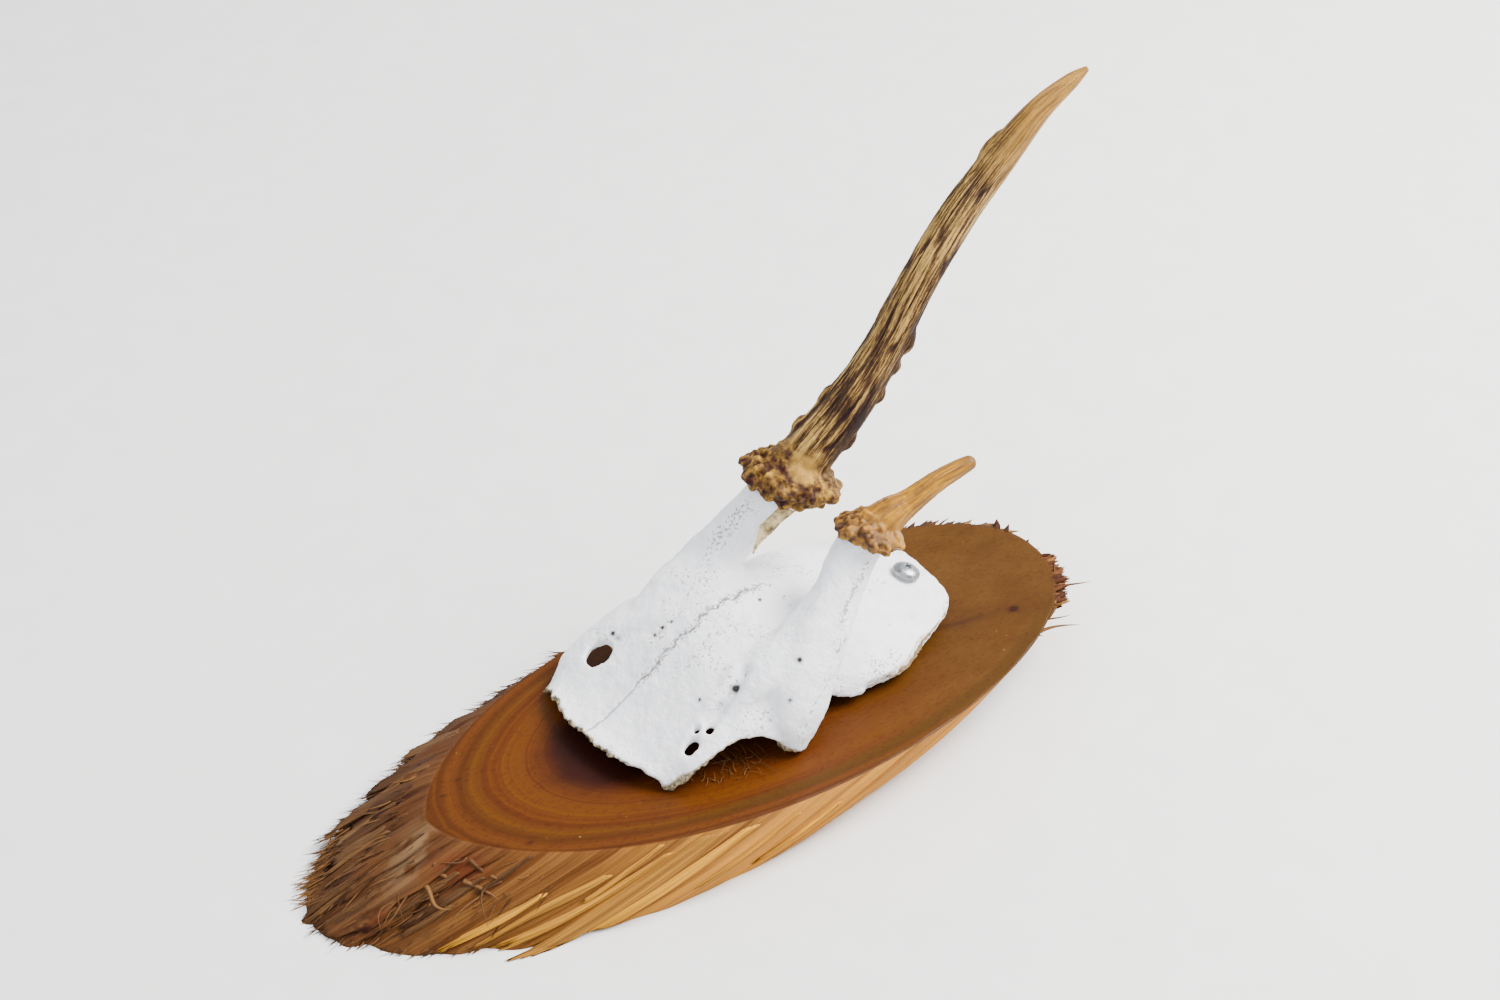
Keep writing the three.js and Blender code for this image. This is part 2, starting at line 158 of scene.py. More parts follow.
def wall_at(t, level, lift=0.0):
    """The side at angle t and level (0 underside, 1 top): the outline carried along the branch, with a belly,
    a worn lower edge and ridges along the grain that die out at the clean top edge."""
    bark = 0.25 + 0.75 * bark_at(t)
    swell = 3 * np.exp(-(((t - 2.65) / 0.36) ** 2))
    waves = 0.5 * np.sin(17 * t) + 0.35 * np.sin(29 * t + 1) + 0.25 * np.sin(43 * t + 2)
    proud = lift + 0.9 * np.sin(np.pi * level) - 1.2 * (1 - level) ** 3
    proud = proud + (1.2 * bark * waves + swell) * (1 - level**6)
    flat = oval(t) + out_of_oval(t) * proud[..., None]
    x = flat[..., 0] + SLICE["overhang"] * level
    return np.stack([x, flat[..., 1], SLICE["thickness"] * level + 0 * x], -1)


def spot(points, x, y, long, wide, turn=0.0):
    """A soft oval patch on the board's top: exp(-(u * u + v * v)), with u and v measured along and across."""
    across = np.radians(turn)
    dx, dy = points[..., 0] - x, points[..., 1] - y
    u = (dx * np.cos(across) + dy * np.sin(across)) / long
    v = (dy * np.cos(across) - dx * np.sin(across)) / wide
    return np.exp(-(u * u + v * v))


PLANK_SEAMS = np.array([1.5, 1.72, 1.88, 1.99, 2.14, 2.22, 2.35, 2.43, 2.56, 2.63, 2.78, 2.86, 2.97, 3.12, 3.21,
                        3.33, 3.42, 3.57, 3.7])
AROUND, UNDER_RINGS, TOP_RINGS = 900, 4, 56
angle = 2 * np.pi * np.arange(AROUND) / AROUND
shrink_low = np.linspace(0.02, 1, UNDER_RINGS + 1)[:-1, None]
levels = np.concatenate([np.linspace(0, 0.9, 38), np.linspace(0.925, 1, 5)])[:, None]
WALL_RINGS = len(levels)
shrink_top = (1 - np.linspace(0, 1, TOP_RINGS + 2) ** 1.2)[1:-1, None]
middle = np.array([0.0, 2.5])
foot = wall_at(angle[None], np.zeros((1, 1)))
below = np.concatenate([middle[None, None] + (foot[..., :2] - middle) * shrink_low[..., None],
                        np.zeros((UNDER_RINGS, AROUND, 1))], -1)
side = wall_at(angle[None], levels)
root = angle[None] + SPIRAL * (1 - levels)
grain = np.concatenate([oval(root) * [ROUNDNESS, 1], 0.06 * side[..., 2:]], -1)
level = np.broadcast_to(levels, side.shape[:2])
bark = bark_at(angle)[None] * np.ones_like(level)
fine = 0.3 * rough_sum(grain * [1, 1, 0.5], 1.1, 3) + 0.5 * rough_sum(grain, 3.5, 7)
fine = fine - 0.9 * smooth(roughness(grain * [1, 1, 0.4], 1.7, 8), 0.35, 0.8)
lip = root % (2 * np.pi) + 0.05 * roughness(side * [0.25, 0.25, 1], 5, 9)
plank = np.searchsorted(PLANK_SEAMS, lip)
chance = np.random.default_rng(12)
proud = chance.uniform(-1, 1, len(PLANK_SEAMS) + 1)[plank]
tail = chance.uniform(0.0, 0.45, len(PLANK_SEAMS) + 1)[plank]
plank_ends = np.concatenate([[0], PLANK_SEAMS, [7]])
seam = np.minimum(lip - plank_ends[plank], plank_ends[plank + 1] - lip)
tails = 1.2 * (1 - smooth(level, tail - 0.1, tail)) * (1 - smooth(lip, 3.3, 3.6))
steps = 1.5 * proud * smooth(1 - level, 0, 0.4) - tails - 1.8 * np.exp(-seam / 0.012)
coarse = 0.8 + steps + 0.5 * rough_sum(grain * [1, 1, 1.5], 1.6, 17, 4)
torn = (fine * (1 - bark) + coarse * bark) * (1 - level**10) * smooth(level, 0, 0.1)
outward = np.concatenate([out_of_oval(angle), np.zeros((AROUND, 1))], -1)[None]
side = side + outward * torn[..., None]
rim = np.stack([*np.moveaxis(oval(angle), -1, 0), np.full(AROUND, SLICE["thickness"])], -1)
rim[:, 0] += SLICE["overhang"]
nicks = 0.35 * rough_sum(rim, 6, 19) - 0.2 + 0.5 * bark_at(angle) * roughness(rim, 3, 20)
rim[:, :2] += out_of_oval(angle) * nicks[:, None]
top_middle = np.array([SLICE["overhang"], 2.5, SLICE["thickness"]])
top = top_middle + (rim[None] - top_middle) * shrink_top[..., None]
board = np.concatenate([below, side, top])
board_points = with_poles(board)
section = branch_space(board_points)
wobble = 0.4 * roughness(section, 12, 21) + 0.12 * roughness(section, 3, 22)
off_centre = section[:, :2] - [2.0, 3.5]
ring = (np.hypot(off_centre[:, 0], off_centre[:, 1]) + wobble) / BRANCH_RADIUS
bare_rings = UNDER_RINGS + WALL_RINGS - 1
on_side = np.concatenate([np.ones(bare_rings * AROUND), np.zeros((TOP_RINGS + 1) * AROUND), [1, 0]])
turn = np.concatenate([np.tile(angle, len(board)), [0, 0]])
patchy = rough_sum(section * [1, 1, 4], 6, 31)
bark_edge = turn + 0.16 * patchy
bark_cover = smooth(bark_edge, 1.7, 2.1) * (1 - smooth(bark_edge, 3.35, 3.8))
bark_cover = np.maximum(bark_cover, 1 - smooth(np.minimum(bark_edge, 2 * np.pi - bark_edge), 0.5, 0.8))
# Dark marks on the varnish: a streak, a dot, worm holes and patches; the broad patch at the skull cap's front
# edge is real stain with painted shade added where the cap stands over the board.
stain = smooth(spot(board_points, -12, 3, 17, 16) + 0.05 * rough_sum(section, 5, 23), 0.2, 0.6)
stain += 0.3 * spot(board_points, 0, -18, 16, 5, 20) + 0.2 * spot(board_points, 97, -7.2, 13, 3.5, -10)
stain += 0.4 * spot(board_points, 97, -7.0, 9, 1.2, -10) + 3 * spot(board_points, 113, -10.3, 1.2, 0.9)
stain += 0.16 * spot(board_points, 118, 8, 14, 12)
WORM_HOLES = [(-50.6, 13.4, 0.8), (-56.1, 10.3, 0.7), (-43.9, -15.6, 1.0), (-49, 12, 0.6), (-47, 15.6, 0.5)]
for x, y, size in WORM_HOLES:
    stain += 0.9 * spot(board_points, x, y, 0.9 * size, 0.6 * size)


class Finish:
    """A shader being put together: each call adds one node and gives its output."""

    def __init__(self, name):
        self.material = bpy.data.materials.new(name)
        self.material.use_nodes = True
        self.tree = self.material.node_tree
        self.skin = self.tree.nodes["Principled BSDF"]

    def node(self, kind, inputs, output=0, **settings):
        node = self.tree.nodes.new("ShaderNode" + kind)
        for setting, value in settings.items():
            setattr(node, setting, value)
        for key, value in inputs.items():
            self.put(node.inputs[key], value)
        return node.outputs[output]

    def put(self, socket, value):
        if isinstance(value, bpy.types.NodeSocket):
            self.tree.links.new(value, socket)
        else:
            socket.default_value = value

    def place(self):
        return self.node("TexCoord", {}, "Object")

    def field(self, name, output="Fac"):
        return self.node("Attribute", {}, output, attribute_name=name)

    def sums(self, operation, a, b=0.0, c=0.0):
        return self.node("Math", {0: a, 1: b, 2: c}, operation=operation)

    def weighed(self, a, share_a, b, share_b):
        """a times its share plus b times its share."""
        return self.sums("MULTIPLY_ADD", a, share_a, self.sums("MULTIPLY", b, share_b))

    def stretch(self, vector, scale):
        return self.node("Mapping", {"Vector": vector, "Scale": scale})

    def grain(self, vector, scale, detail=4.0, rough=0.6):
        return self.node("TexNoise", {"Vector": vector, "Scale": scale, "Detail": detail, "Roughness": rough})

    def spread(self, value, low, high, to_low=0.0, to_high=1.0):
        return self.node("MapRange", {0: value, 1: low, 2: high, 3: to_low, 4: to_high})

    def shades(self, value, *stops):
        ramp = self.tree.nodes.new("ShaderNodeValToRGB")
        while len(ramp.color_ramp.elements) < len(stops):
            ramp.color_ramp.elements.new(0.5)
        for element, (place, shade) in zip(ramp.color_ramp.elements, stops):
            element.position = place
            element.color = (*tint(shade), 1)
        self.put(ramp.inputs[0], value)
        return ramp.outputs[0]

    def mix(self, amount, a, b):
        mixer = self.tree.nodes.new("ShaderNodeMix")
        mixer.data_type = "RGBA"
        mixer.clamp_factor = True
        self.put(mixer.inputs[0], amount)
        for socket, value in ((mixer.inputs[6], a), (mixer.inputs[7], b)):
            self.put(socket, (*tint(value), 1) if isinstance(value, str) else value)
        return mixer.outputs[2]

    def bump(self, height, distance, strength):
        return self.node("Bump", {"Height": height, "Distance": distance, "Strength": strength})

    def done(self, colour, dull, normal=None, **steady):
        self.put(self.skin.inputs["Base Color"], colour)
        self.put(self.skin.inputs["Roughness"], dull)
        if normal is not None:
            self.put(self.skin.inputs["Normal"], normal)
        for key, value in steady.items():
            self.skin.inputs[key.replace("_", " ")].default_value = value
        return self.material


def tint(shade):
    """A colour written as six hex digits, as the linear red, green and blue that a shader takes."""
    part = np.array([int(shade[k: k + 2], 16) for k in (0, 2, 4)]) / 255
    return tuple(np.where(part <= 0.04045, part / 12.92, ((part + 0.055) / 1.055) ** 2.4))


wood = Finish("branch_wood")
place = wood.place()
parts = wood.tree.nodes.new("ShaderNodeSeparateXYZ")
wood.put(parts.inputs[0], place)
slant = wood.sums("MULTIPLY_ADD", parts.outputs[2], -BRANCH_SLANT, parts.outputs[0])
in_branch = wood.node("CombineXYZ", {0: wood.sums("MULTIPLY", slant, ROUNDNESS), 1: parts.outputs[1],
                                     2: wood.sums("MULTIPLY", parts.outputs[2], 0.05)})
ring_place = wood.field("ring")
ragged = wood.grain(in_branch, 260.0, 3.0)
ring_count = wood.weighed(ragged, 0.35, ring_place, 30.0)
lines = wood.node("TexNoise", {"W": ring_count, "Scale": 1.0, "Detail": 6.0, "Roughness": 0.82},
                  noise_dimensions="1D")
soft_zones = wood.grain(in_branch, 45.0, 2.0)
pores = wood.grain(in_branch, 1500.0, 2.0)
zones = wood.sums("MULTIPLY_ADD", wood.sums("SUBTRACT", soft_zones, 0.5), 0.05, ring_place)
heart = wood.shades(zones, (0.0, "3d1401"), (0.35, "441b02"), (0.6, "481f01"), (0.7, "4a2203"),
                    (0.79, "512a03"), (0.86, "482001"), (0.905, "4b2903"), (0.945, "3f1e01"),
                    (0.965, "4a2404"), (0.985, "4d2704"), (1.0, "411f02"))
low_end = wood.spread(parts.outputs[0], -0.01, 0.07, 1.0, 0.2)
light_lines = wood.sums("MULTIPLY", wood.spread(lines, 0.48, 0.7, 0.0, 0.55), low_end)
dark_lines = wood.sums("MULTIPLY", wood.spread(lines, 0.5, 0.32, 0.0, 0.55), low_end)
heart = wood.mix(light_lines, heart, "5a3204")
heart = wood.mix(dark_lines, heart, "3a1801")
faded = wood.spread(parts.outputs[0], 0.03, 0.09)
cloudy = wood.grain(wood.stretch(place, (0.6, 1.0, 1.0)), 55.0, 5.0, 0.65)
matt = wood.shades(cloudy, (0.3, "3d2302"), (0.5, "462c07"), (0.7, "50350f"))
heart = wood.mix(wood.sums("MULTIPLY", faded, 0.85), heart, matt)
heart = wood.mix(wood.field("olive"), heart, "3c2501")
heart = wood.mix(wood.spread(pores, 0.5, 0.75, 0.0, 0.4), heart, "2e0401")
# Darker where the varnish is stained, with painted shade at the skull cap's front edge.
heart = wood.mix(wood.field("stain"), heart, "240903")
# Pale specks: dust on the varnish and painted glints of light off it.
dust_and_glints = wood.grain(place, 700.0, 1.0)
heart = wood.mix(wood.spread(dust_and_glints, 0.79, 0.84, 0.0, 0.7), heart, "846b35")
weave = wood.field("weave", "Vector")
streaks = wood.grain(weave, 520.0, 6.0, 0.75)
broad = wood.grain(weave, 110.0, 4.0, 0.65)
bare = wood.shades(wood.weighed(broad, 0.5, streaks, 0.5), (0.33, "522f08"), (0.42, "7b5125"),
                   (0.5, "a8712d"), (0.6, "c5872c"), (0.72, "e9a935"))
weathered = wood.shades(streaks, (0.35, "431c02"), (0.5, "603b18"), (0.65, "7b5125"))
bare = wood.mix(wood.field("tan"), bare, weathered)
bark_tone = wood.shades(wood.weighed(broad, 0.4, streaks, 0.6), (0.3, "270a01"), (0.42, "3d210c"),
                        (0.5, "4b2c15"), (0.58, "56361c"), (0.7, "6f4b29"))
flank = wood.mix(wood.field("bark"), bare, bark_tone)
flank = wood.mix(wood.field("grey"), flank, wood.shades(streaks, (0.35, "503c28"), (0.65, "816445")))
flank = wood.mix(wood.field("ruddy"), flank, wood.shades(streaks, (0.35, "421905"), (0.65, "66341c")))
# Painted shade in the side's sunken seams and hollows, and the low end's dark slit and spots, in near black.
flank = wood.mix(wood.field("gap"), flank, "170101")
colour = wood.mix(wood.field("side"), heart, flank)
relief = wood.weighed(streaks, wood.field("side"), pores, 0.1)
varnish_to_bare = wood.spread(wood.field("side"), 0, 1, 0.4, 0.85)
wood_finish = wood.done(colour, varnish_to_bare, wood.bump(relief, 0.0009, 0.7), Specular_IOR_Level=0.12)

weave = with_poles(np.concatenate([branch_space(below), grain, branch_space(top)])) / METRE
grey = spot(board_points, -70, 0, 9.5, 4.4, 20) * smooth(rough_sum(board_points, 3, 41), -0.6, 0.1)
tan = np.maximum(smooth(-np.cos(turn), 0.1, 0.75), smooth(turn, 5.25, 5.75))
olive = 0.75 * smooth(ring, 0.87, 0.9) * (1 - smooth(ring, 0.95, 0.965))
olive = olive * smooth(turn, 4.0, 4.5) * (1 - smooth(turn, 5.6, 6))
# Painted shade: the side darkens with how deep its surface is sunk, in the seams and hollows between torn
# strips; a dark slit and dark spots at the low end are added.
gap = np.zeros(board.shape[:2])
gap[UNDER_RINGS: UNDER_RINGS + WALL_RINGS] = 0.9 * smooth(-torn, 0.3, 2.2) * (0.35 + 0.65 * bark)
slot = spot(board_points, -76, 19.5, 8.5, 0.9, -8) + spot(board_points, -66, 18.3, 5, 0.7, -8)
ruddy = spot(board_points, -61.5, -11, 7, 3.2, -35) + 0.8 * spot(board_points, -84, -7.5, 2.6, 1.6)
moss = spot(board_points, -87, -7, 4.5, 3.2) * smooth(roughness(board_points, 1.2, 43), -0.3, 0.3)
gap = np.maximum(np.concatenate([gap.ravel(), [0, 0]]), 0.8 * np.maximum(moss, slot))
make("wooden_slice", board_points, capped(len(board), AROUND), wood_finish, "varnished_wood", "wood_slab",
     ring=ring, side=on_side, bark=bark_cover, stain=np.clip(stain, 0, 1), grey=grey, tan=tan,
     olive=olive, ruddy=ruddy, weave=weave, gap=gap)

# ---- Frayed bast and golden tuft ----
# The bark's inner layer, torn by the saw into brown hairs round the low end, with a paler tuft at its foot and
# splinters along the high rim. Each is a thin strip of wood, hung on the slice by its root.
GRAIN_RUN = 40.7


def strips(roots, headings, lengths, widths, lift, swing, flatness, steps=12, seed=1):
    """Tapering strips. At s from 0 to 1, each has left its root by heading * length * s, risen by
    lift * length * s * s and swung sideways in a slow sine wave. Its section is a flat bar whose half width
    falls as 1 - 0.97 * s**2.2."""
    chance = np.random.default_rng(seed)
    count = len(roots)
    s = np.linspace(0, 1, steps)[None, :, None]
    headings = headings / np.linalg.norm(headings, axis=1, keepdims=True)
    sideways = np.cross(headings, [0.0, 0, 1])
    sideways /= np.linalg.norm(sideways, axis=1, keepdims=True)
    upwards = np.cross(sideways, headings)
    phase = chance.uniform(0, 6.3, (count, 1, 1))
    waves = chance.uniform(1.5, 4.5, (count, 1, 1))
    wave = np.sin(phase + waves * s) - np.sin(phase) - waves * np.cos(phase) * s * 0.6
    length = lengths[:, None, None]
    path = (roots[:, None] + headings[:, None] * length * s + sideways[:, None] * wave * length * swing
            + upwards[:, None] * length * s**2 * (lift * chance.uniform(0.2, 1.0, (count, 1, 1))))
    path[..., 2] = np.maximum(path[..., 2], 0.15)
    along = np.gradient(path, axis=1)
    along /= np.linalg.norm(along, axis=2, keepdims=True) + 1e-9
    across = np.cross(along, upwards[:, None])
    across /= np.linalg.norm(across, axis=2, keepdims=True) + 1e-9
    depth = np.cross(across, along)
    half = widths[:, None, None] / 2 * (1 - s**2.2 * 0.97)
    corners = [across * half, depth * half * flatness, -across * half, -depth * half * flatness]
    grid = np.stack([path + corner for corner in corners], 2)
    ends = np.stack([path[:, 0], path[:, -1]], 1)
    points = np.concatenate([grid.reshape(count, -1, 3), ends], 1)
    one = np.array([face + face[-1:] * (4 - len(face)) for face in capped(steps, 4)])
    faces = (one[None] + np.arange(count)[:, None, None] * points.shape[1]).reshape(-1, 4)
    faces = [list(dict.fromkeys(face)) for face in faces.tolist()]
    shade = np.repeat(chance.uniform(0, 1, count), points.shape[1])
    return points.reshape(-1, 3), faces, shade


def joined(*bodies):
    """Several bodies' points, faces and shades in one list each."""
    points, faces, shades, start = [], [], [], 0
    for body_points, body_faces, body_shade in bodies:
        points.append(body_points)
        shades.append(body_shade)
        faces += [[k + start for k in face] for face in body_faces]
        start += len(body_points)
    return np.concatenate(points), faces, np.concatenate(shades)


DOWN_GRAIN = np.array([-SLICE["overhang"], 0, -SLICE["thickness"]]) / GRAIN_RUN


def level_out(t):
    """The direction straight out of the outline at angle t, in x, y and z."""
    return np.concatenate([out_of_oval(t), np.zeros((len(t), 1))], 1)


def scattered(count, turns, levels, down, outwards, seed, lift=-0.35):
    """Roots spread over part of the side, and headings down the branch's grain and outwards."""
    chance = np.random.default_rng(seed)
    t, level = chance.uniform(*turns, count), chance.uniform(*levels, count)
    headings = DOWN_GRAIN * down + level_out(t) * chance.uniform(*outwards, (count, 1))
    headings = headings + chance.normal(0, 0.16, (count, 3))
    return wall_at(t, level, lift * np.ones(count)), headings


def spans(count, low, high, seed):
    """As many sizes as asked, spread evenly at random between low and high."""
    return np.random.default_rng(seed).uniform(low, high, count)


def frayed(count, turns, levels, lengths, widths, seed, down=1.0, outwards=(0.05, 0.5), lift=0.25, swing=0.05):
    """Strips rooted at random over part of the side."""
    roots, headings = scattered(count, turns, levels, down, outwards, seed)
    longs, wides = spans(count, *lengths, seed + 1), spans(count, *widths, seed + 2)
    return strips(roots, headings, longs, wides, lift, swing, 0.4, seed=seed)


def tufts(places, count, lengths, widths, outwards, seed, above=-0.8):
    """A bunch of hairs round each place, a turn and a level on the side. They fan out from it, and are rooted
    above or below the surface by the distance given."""
    chance = np.random.default_rng(seed)
    t, level = np.repeat(np.array(places), count, axis=0).T
    number = len(t)
    t = t + chance.normal(0, 0.045, number)
    level = np.clip(level + chance.normal(0, 0.06, number), 0.01, 0.99)
    headings = DOWN_GRAIN + level_out(t) * chance.uniform(*outwards, (number, 1))
    headings = headings + chance.normal(0, 0.13, (number, 3))
    longs, wides = spans(number, *lengths, seed + 1), spans(number, *widths, seed + 2)
    return strips(wall_at(t, level, np.full(number, above)), headings, longs, wides, 0.2, 0.06, 0.5, seed=seed)


def rim_splinters(count, turns, seed):
    """Short flat splinters that the saw left standing off the rim, all raked the same way along it."""
    chance = np.random.default_rng(seed)
    t = chance.uniform(*turns, count)
    out = level_out(t)
    rake = np.stack([-out[:, 1], out[:, 0], 0.12 + 0 * t], -1)
    headings = out * chance.uniform(0.5, 1.3, (count, 1)) - rake + chance.normal(0, 0.1, (count, 3))
    roots = wall_at(t, chance.uniform(0.9, 0.99, count), np.full(count, -0.6))
    longs, wides = spans(count, 2.5, 6.5, seed + 1), spans(count, 0.8, 2.2, seed + 2)
    return strips(roots, headings, longs, wides, 0.05, 0.03, 0.35, seed=seed)


fibre = Finish("torn_fibre")
shade = fibre.field("shade")
fibre_streaks = fibre.grain(fibre.place(), 1200.0, 3.0)
colour = fibre.shades(fibre.weighed(fibre_streaks, 0.3, shade, 0.8), (0.1, "2a1201"), (0.35, "41260f"),
                      (0.6, "57391e"), (0.85, "775028"), (1.0, "a26d2a"))
fibre_finish = fibre.done(colour, 0.8, fibre.bump(fibre_streaks, 0.0003, 0.5), Specular_IOR_Level=0.2)
FRINGE = [(1.95, 0.88), (2.08, 0.72), (2.2, 0.6), (2.3, 0.55), (2.36, 0.44), (2.42, 0.38), (2.5, 0.3),
          (2.56, 0.22)]
RAISED_FRINGE = [(2.04, 0.55), (2.2, 0.47), (2.33, 0.45), (2.47, 0.35), (2.6, 0.25)]
GOLDEN_TUFTS = [(2.64, 0.16), (2.7, 0.14), (2.78, 0.12), (2.84, 0.1)]
points, faces, shade = joined(
    frayed(420, (1.95, 3.3), (0.1, 0.95), (3, 9), (0.15, 0.6), 100, outwards=(0.0, 0.12), lift=0.08),
    frayed(260, (3.1, 4.0), (0.05, 0.9), (2, 8), (0.12, 0.5), 120, outwards=(0.0, 0.1), lift=0.08),
    tufts(FRINGE, 34, (4, 9), (0.15, 0.6), (0.25, 0.75), 130),
    tufts(RAISED_FRINGE, 44, (3, 7), (0.15, 0.6), (0.15, 0.55), 135, 1.8),
    frayed(46, (3.3, 4.0), (0.02, 0.08), (1.5, 4), (0.2, 0.9), 140, outwards=(0.1, 0.4)),
    frayed(70, (0.9, 1.9), (0.93, 1.0), (1, 2.4), (0.3, 1.0), 150, down=0.3, outwards=(0.2, 0.6), lift=0.1),
    rim_splinters(150, (0.25, 1.0), 155),
)
make("frayed_bast", points, faces, fibre_finish, "varnished_wood", shade=0.85 * shade)
points, faces, shade = tufts(GOLDEN_TUFTS, 44, (4, 8), (0.12, 0.5), (0.0, 0.25), 160)
make("golden_tuft", points, faces, fibre_finish, "varnished_wood", shade=0.6 + 0.4 * shade)

# ---- Bark chips ----
# Short broken flakes of bark that still cling to the rim at the slice's high end. They are dry and reddish
# brown, and each is held by its root in the side.
chip = Finish("bark_chip")
shade = chip.field("shade")
flecks = chip.grain(chip.place(), 900.0, 4.0)
colour = chip.shades(chip.weighed(flecks, 0.5, shade, 0.5), (0.25, "2e1203"), (0.45, "4b2710"),
                     (0.6, "61391c"), (0.8, "865b2b"))
chip_finish = chip.done(colour, 0.8, Specular_IOR_Level=0.2)
points, faces, shade = joined(
    frayed(120, (5.9, 6.6), (0.7, 0.97), (2.4, 5.4), (1.0, 3.0), 170,
           down=-0.25, outwards=(0.6, 1.2), lift=0.1),
    frayed(210, (5.86, 6.22), (0.86, 0.97), (3, 6), (1.4, 3.4), 175,
           down=-0.2, outwards=(0.6, 1.3), lift=0.1),
    frayed(60, (5.75, 6.1), (0.55, 0.85), (2, 4.5), (0.3, 1.0), 180, down=0.2, outwards=(0.2, 0.6), lift=0.1,
           swing=0.2),
)
make("bark_chips", points, faces, chip_finish, "varnished_wood", shade=shade)

# ---- Bast curls ----
# Loose strands of bast: thin curls and five broad ones on the low end's side, six that stand off the high end,
# and a pinch of stray hairs lying on the varnish. They are the same brown fibre, dried into bends.
STRAYS = {"count": 60, "middle": (14, -21, 19.4), "spread": (5, 2.2, 0.15)}
BROAD_CURLS = np.array([(3.44, 0.82, -0.5), (3.5, 0.66, -0.3), (3.57, 0.88, -0.4), (3.63, 0.72, -0.15),
                        (3.7, 0.8, -0.35)])
HIGH_CURLS = np.array([(5.7, 0.8, 0.1), (5.74, 0.9, 0.1), (5.78, 0.85, 0.1), (5.84, 0.75, 0.1),
                       (5.9, 0.92, 0.1), (5.95, 0.88, 0.1)])


def along_the_rim(curls, above, outwards):
    """Roots and headings of curls given by turn, level and climb: each sets off along the rim and outwards."""
    t, level, climb = curls.T
    out = level_out(t)
    headings = np.stack([-out[:, 1], out[:, 0], climb], -1) + outwards * out
    return wall_at(t, level, np.full(len(t), above)), headings


thin_curls = scattered(26, (3.3, 3.85), (0.45, 0.95), 0.5, (0.0, 0.1), 180, lift=0.5)
high_curls = along_the_rim(HIGH_CURLS, -0.3, 0.7)
broad_curls = along_the_rim(BROAD_CURLS, 0.9, 0.22)
chance = np.random.default_rng(201)
number = STRAYS["count"]
stray_roots = np.array(STRAYS["middle"]) + chance.normal(0, 1, (number, 3)) * STRAYS["spread"]
stray_ways = [chance.normal(0, 1, number), chance.normal(0, 1, number), chance.uniform(0, 0.25, number)]
stray_ways = np.stack(stray_ways, -1)
points, faces, shade = joined(
    strips(stray_roots, stray_ways, spans(60, 1.5, 5, 202), spans(60, 0.12, 0.3, 203), 0.1, 0.3, 0.6, seed=204),
    strips(*thin_curls, spans(26, 5, 12, 181), spans(26, 0.25, 0.8, 182), 0.03, 0.3, 0.3, 26, 183),
    strips(*broad_curls, spans(5, 9, 15, 195), spans(5, 0.9, 1.8, 196), -0.15, 0.2, 0.2, 26, 197),
    strips(*high_curls, spans(6, 9, 16, 191), spans(6, 0.9, 1.7, 192), 0.1, 0.16, 0.4, 22, 193),
)
make("bast_curls", points, faces, fibre_finish, "varnished_wood", shade=0.35 + 0.5 * shade)

# ---- Torn strips and bast ribbons ----
# Ribbons that the saw peeled from the branch: pale new wood on the near side, brown bast round the low end.
# They still hold at their upper ends, lie down the side and lift off it towards their torn lower ends.
PALE_STRIPS = [(4.34, 0.95, 4.17, -0.2, 9.0, 1.4), (4.24, 0.86, 4.04, 0.02, 3.4, 0.3),
               (4.46, 0.9, 4.30, 0.0, 5.5, 0.8), (4.10, 0.75, 3.95, 0.1, 2.6, 0.3),
               (4.62, 0.85, 4.52, 0.2, 2.0, 0.1),
               (3.96, 0.6, 3.84, 0.06, 3.0, 0.3), (4.18, 0.97, 4.11, 0.45, 1.6, 0.2),
               (4.80, 0.7, 4.72, 0.2, 1.5, 0.1)]
BIG_RIBBONS = [(2.12, 0.95, 2.04, 0.5, 5.0, 2.4), (2.3, 0.93, 2.2, 0.42, 5.5, 3.2),
               (2.42, 0.9, 2.33, 0.4, 4.5, 3.6), (2.55, 0.88, 2.47, 0.3, 5.0, 3.6),
               (2.68, 0.8, 2.6, 0.2, 4.4, 2.6)]
SMALL_RIBBONS = 40
PEEL_ROWS, PEEL_COLUMNS, SIDE_REACH = 34, 11, 62


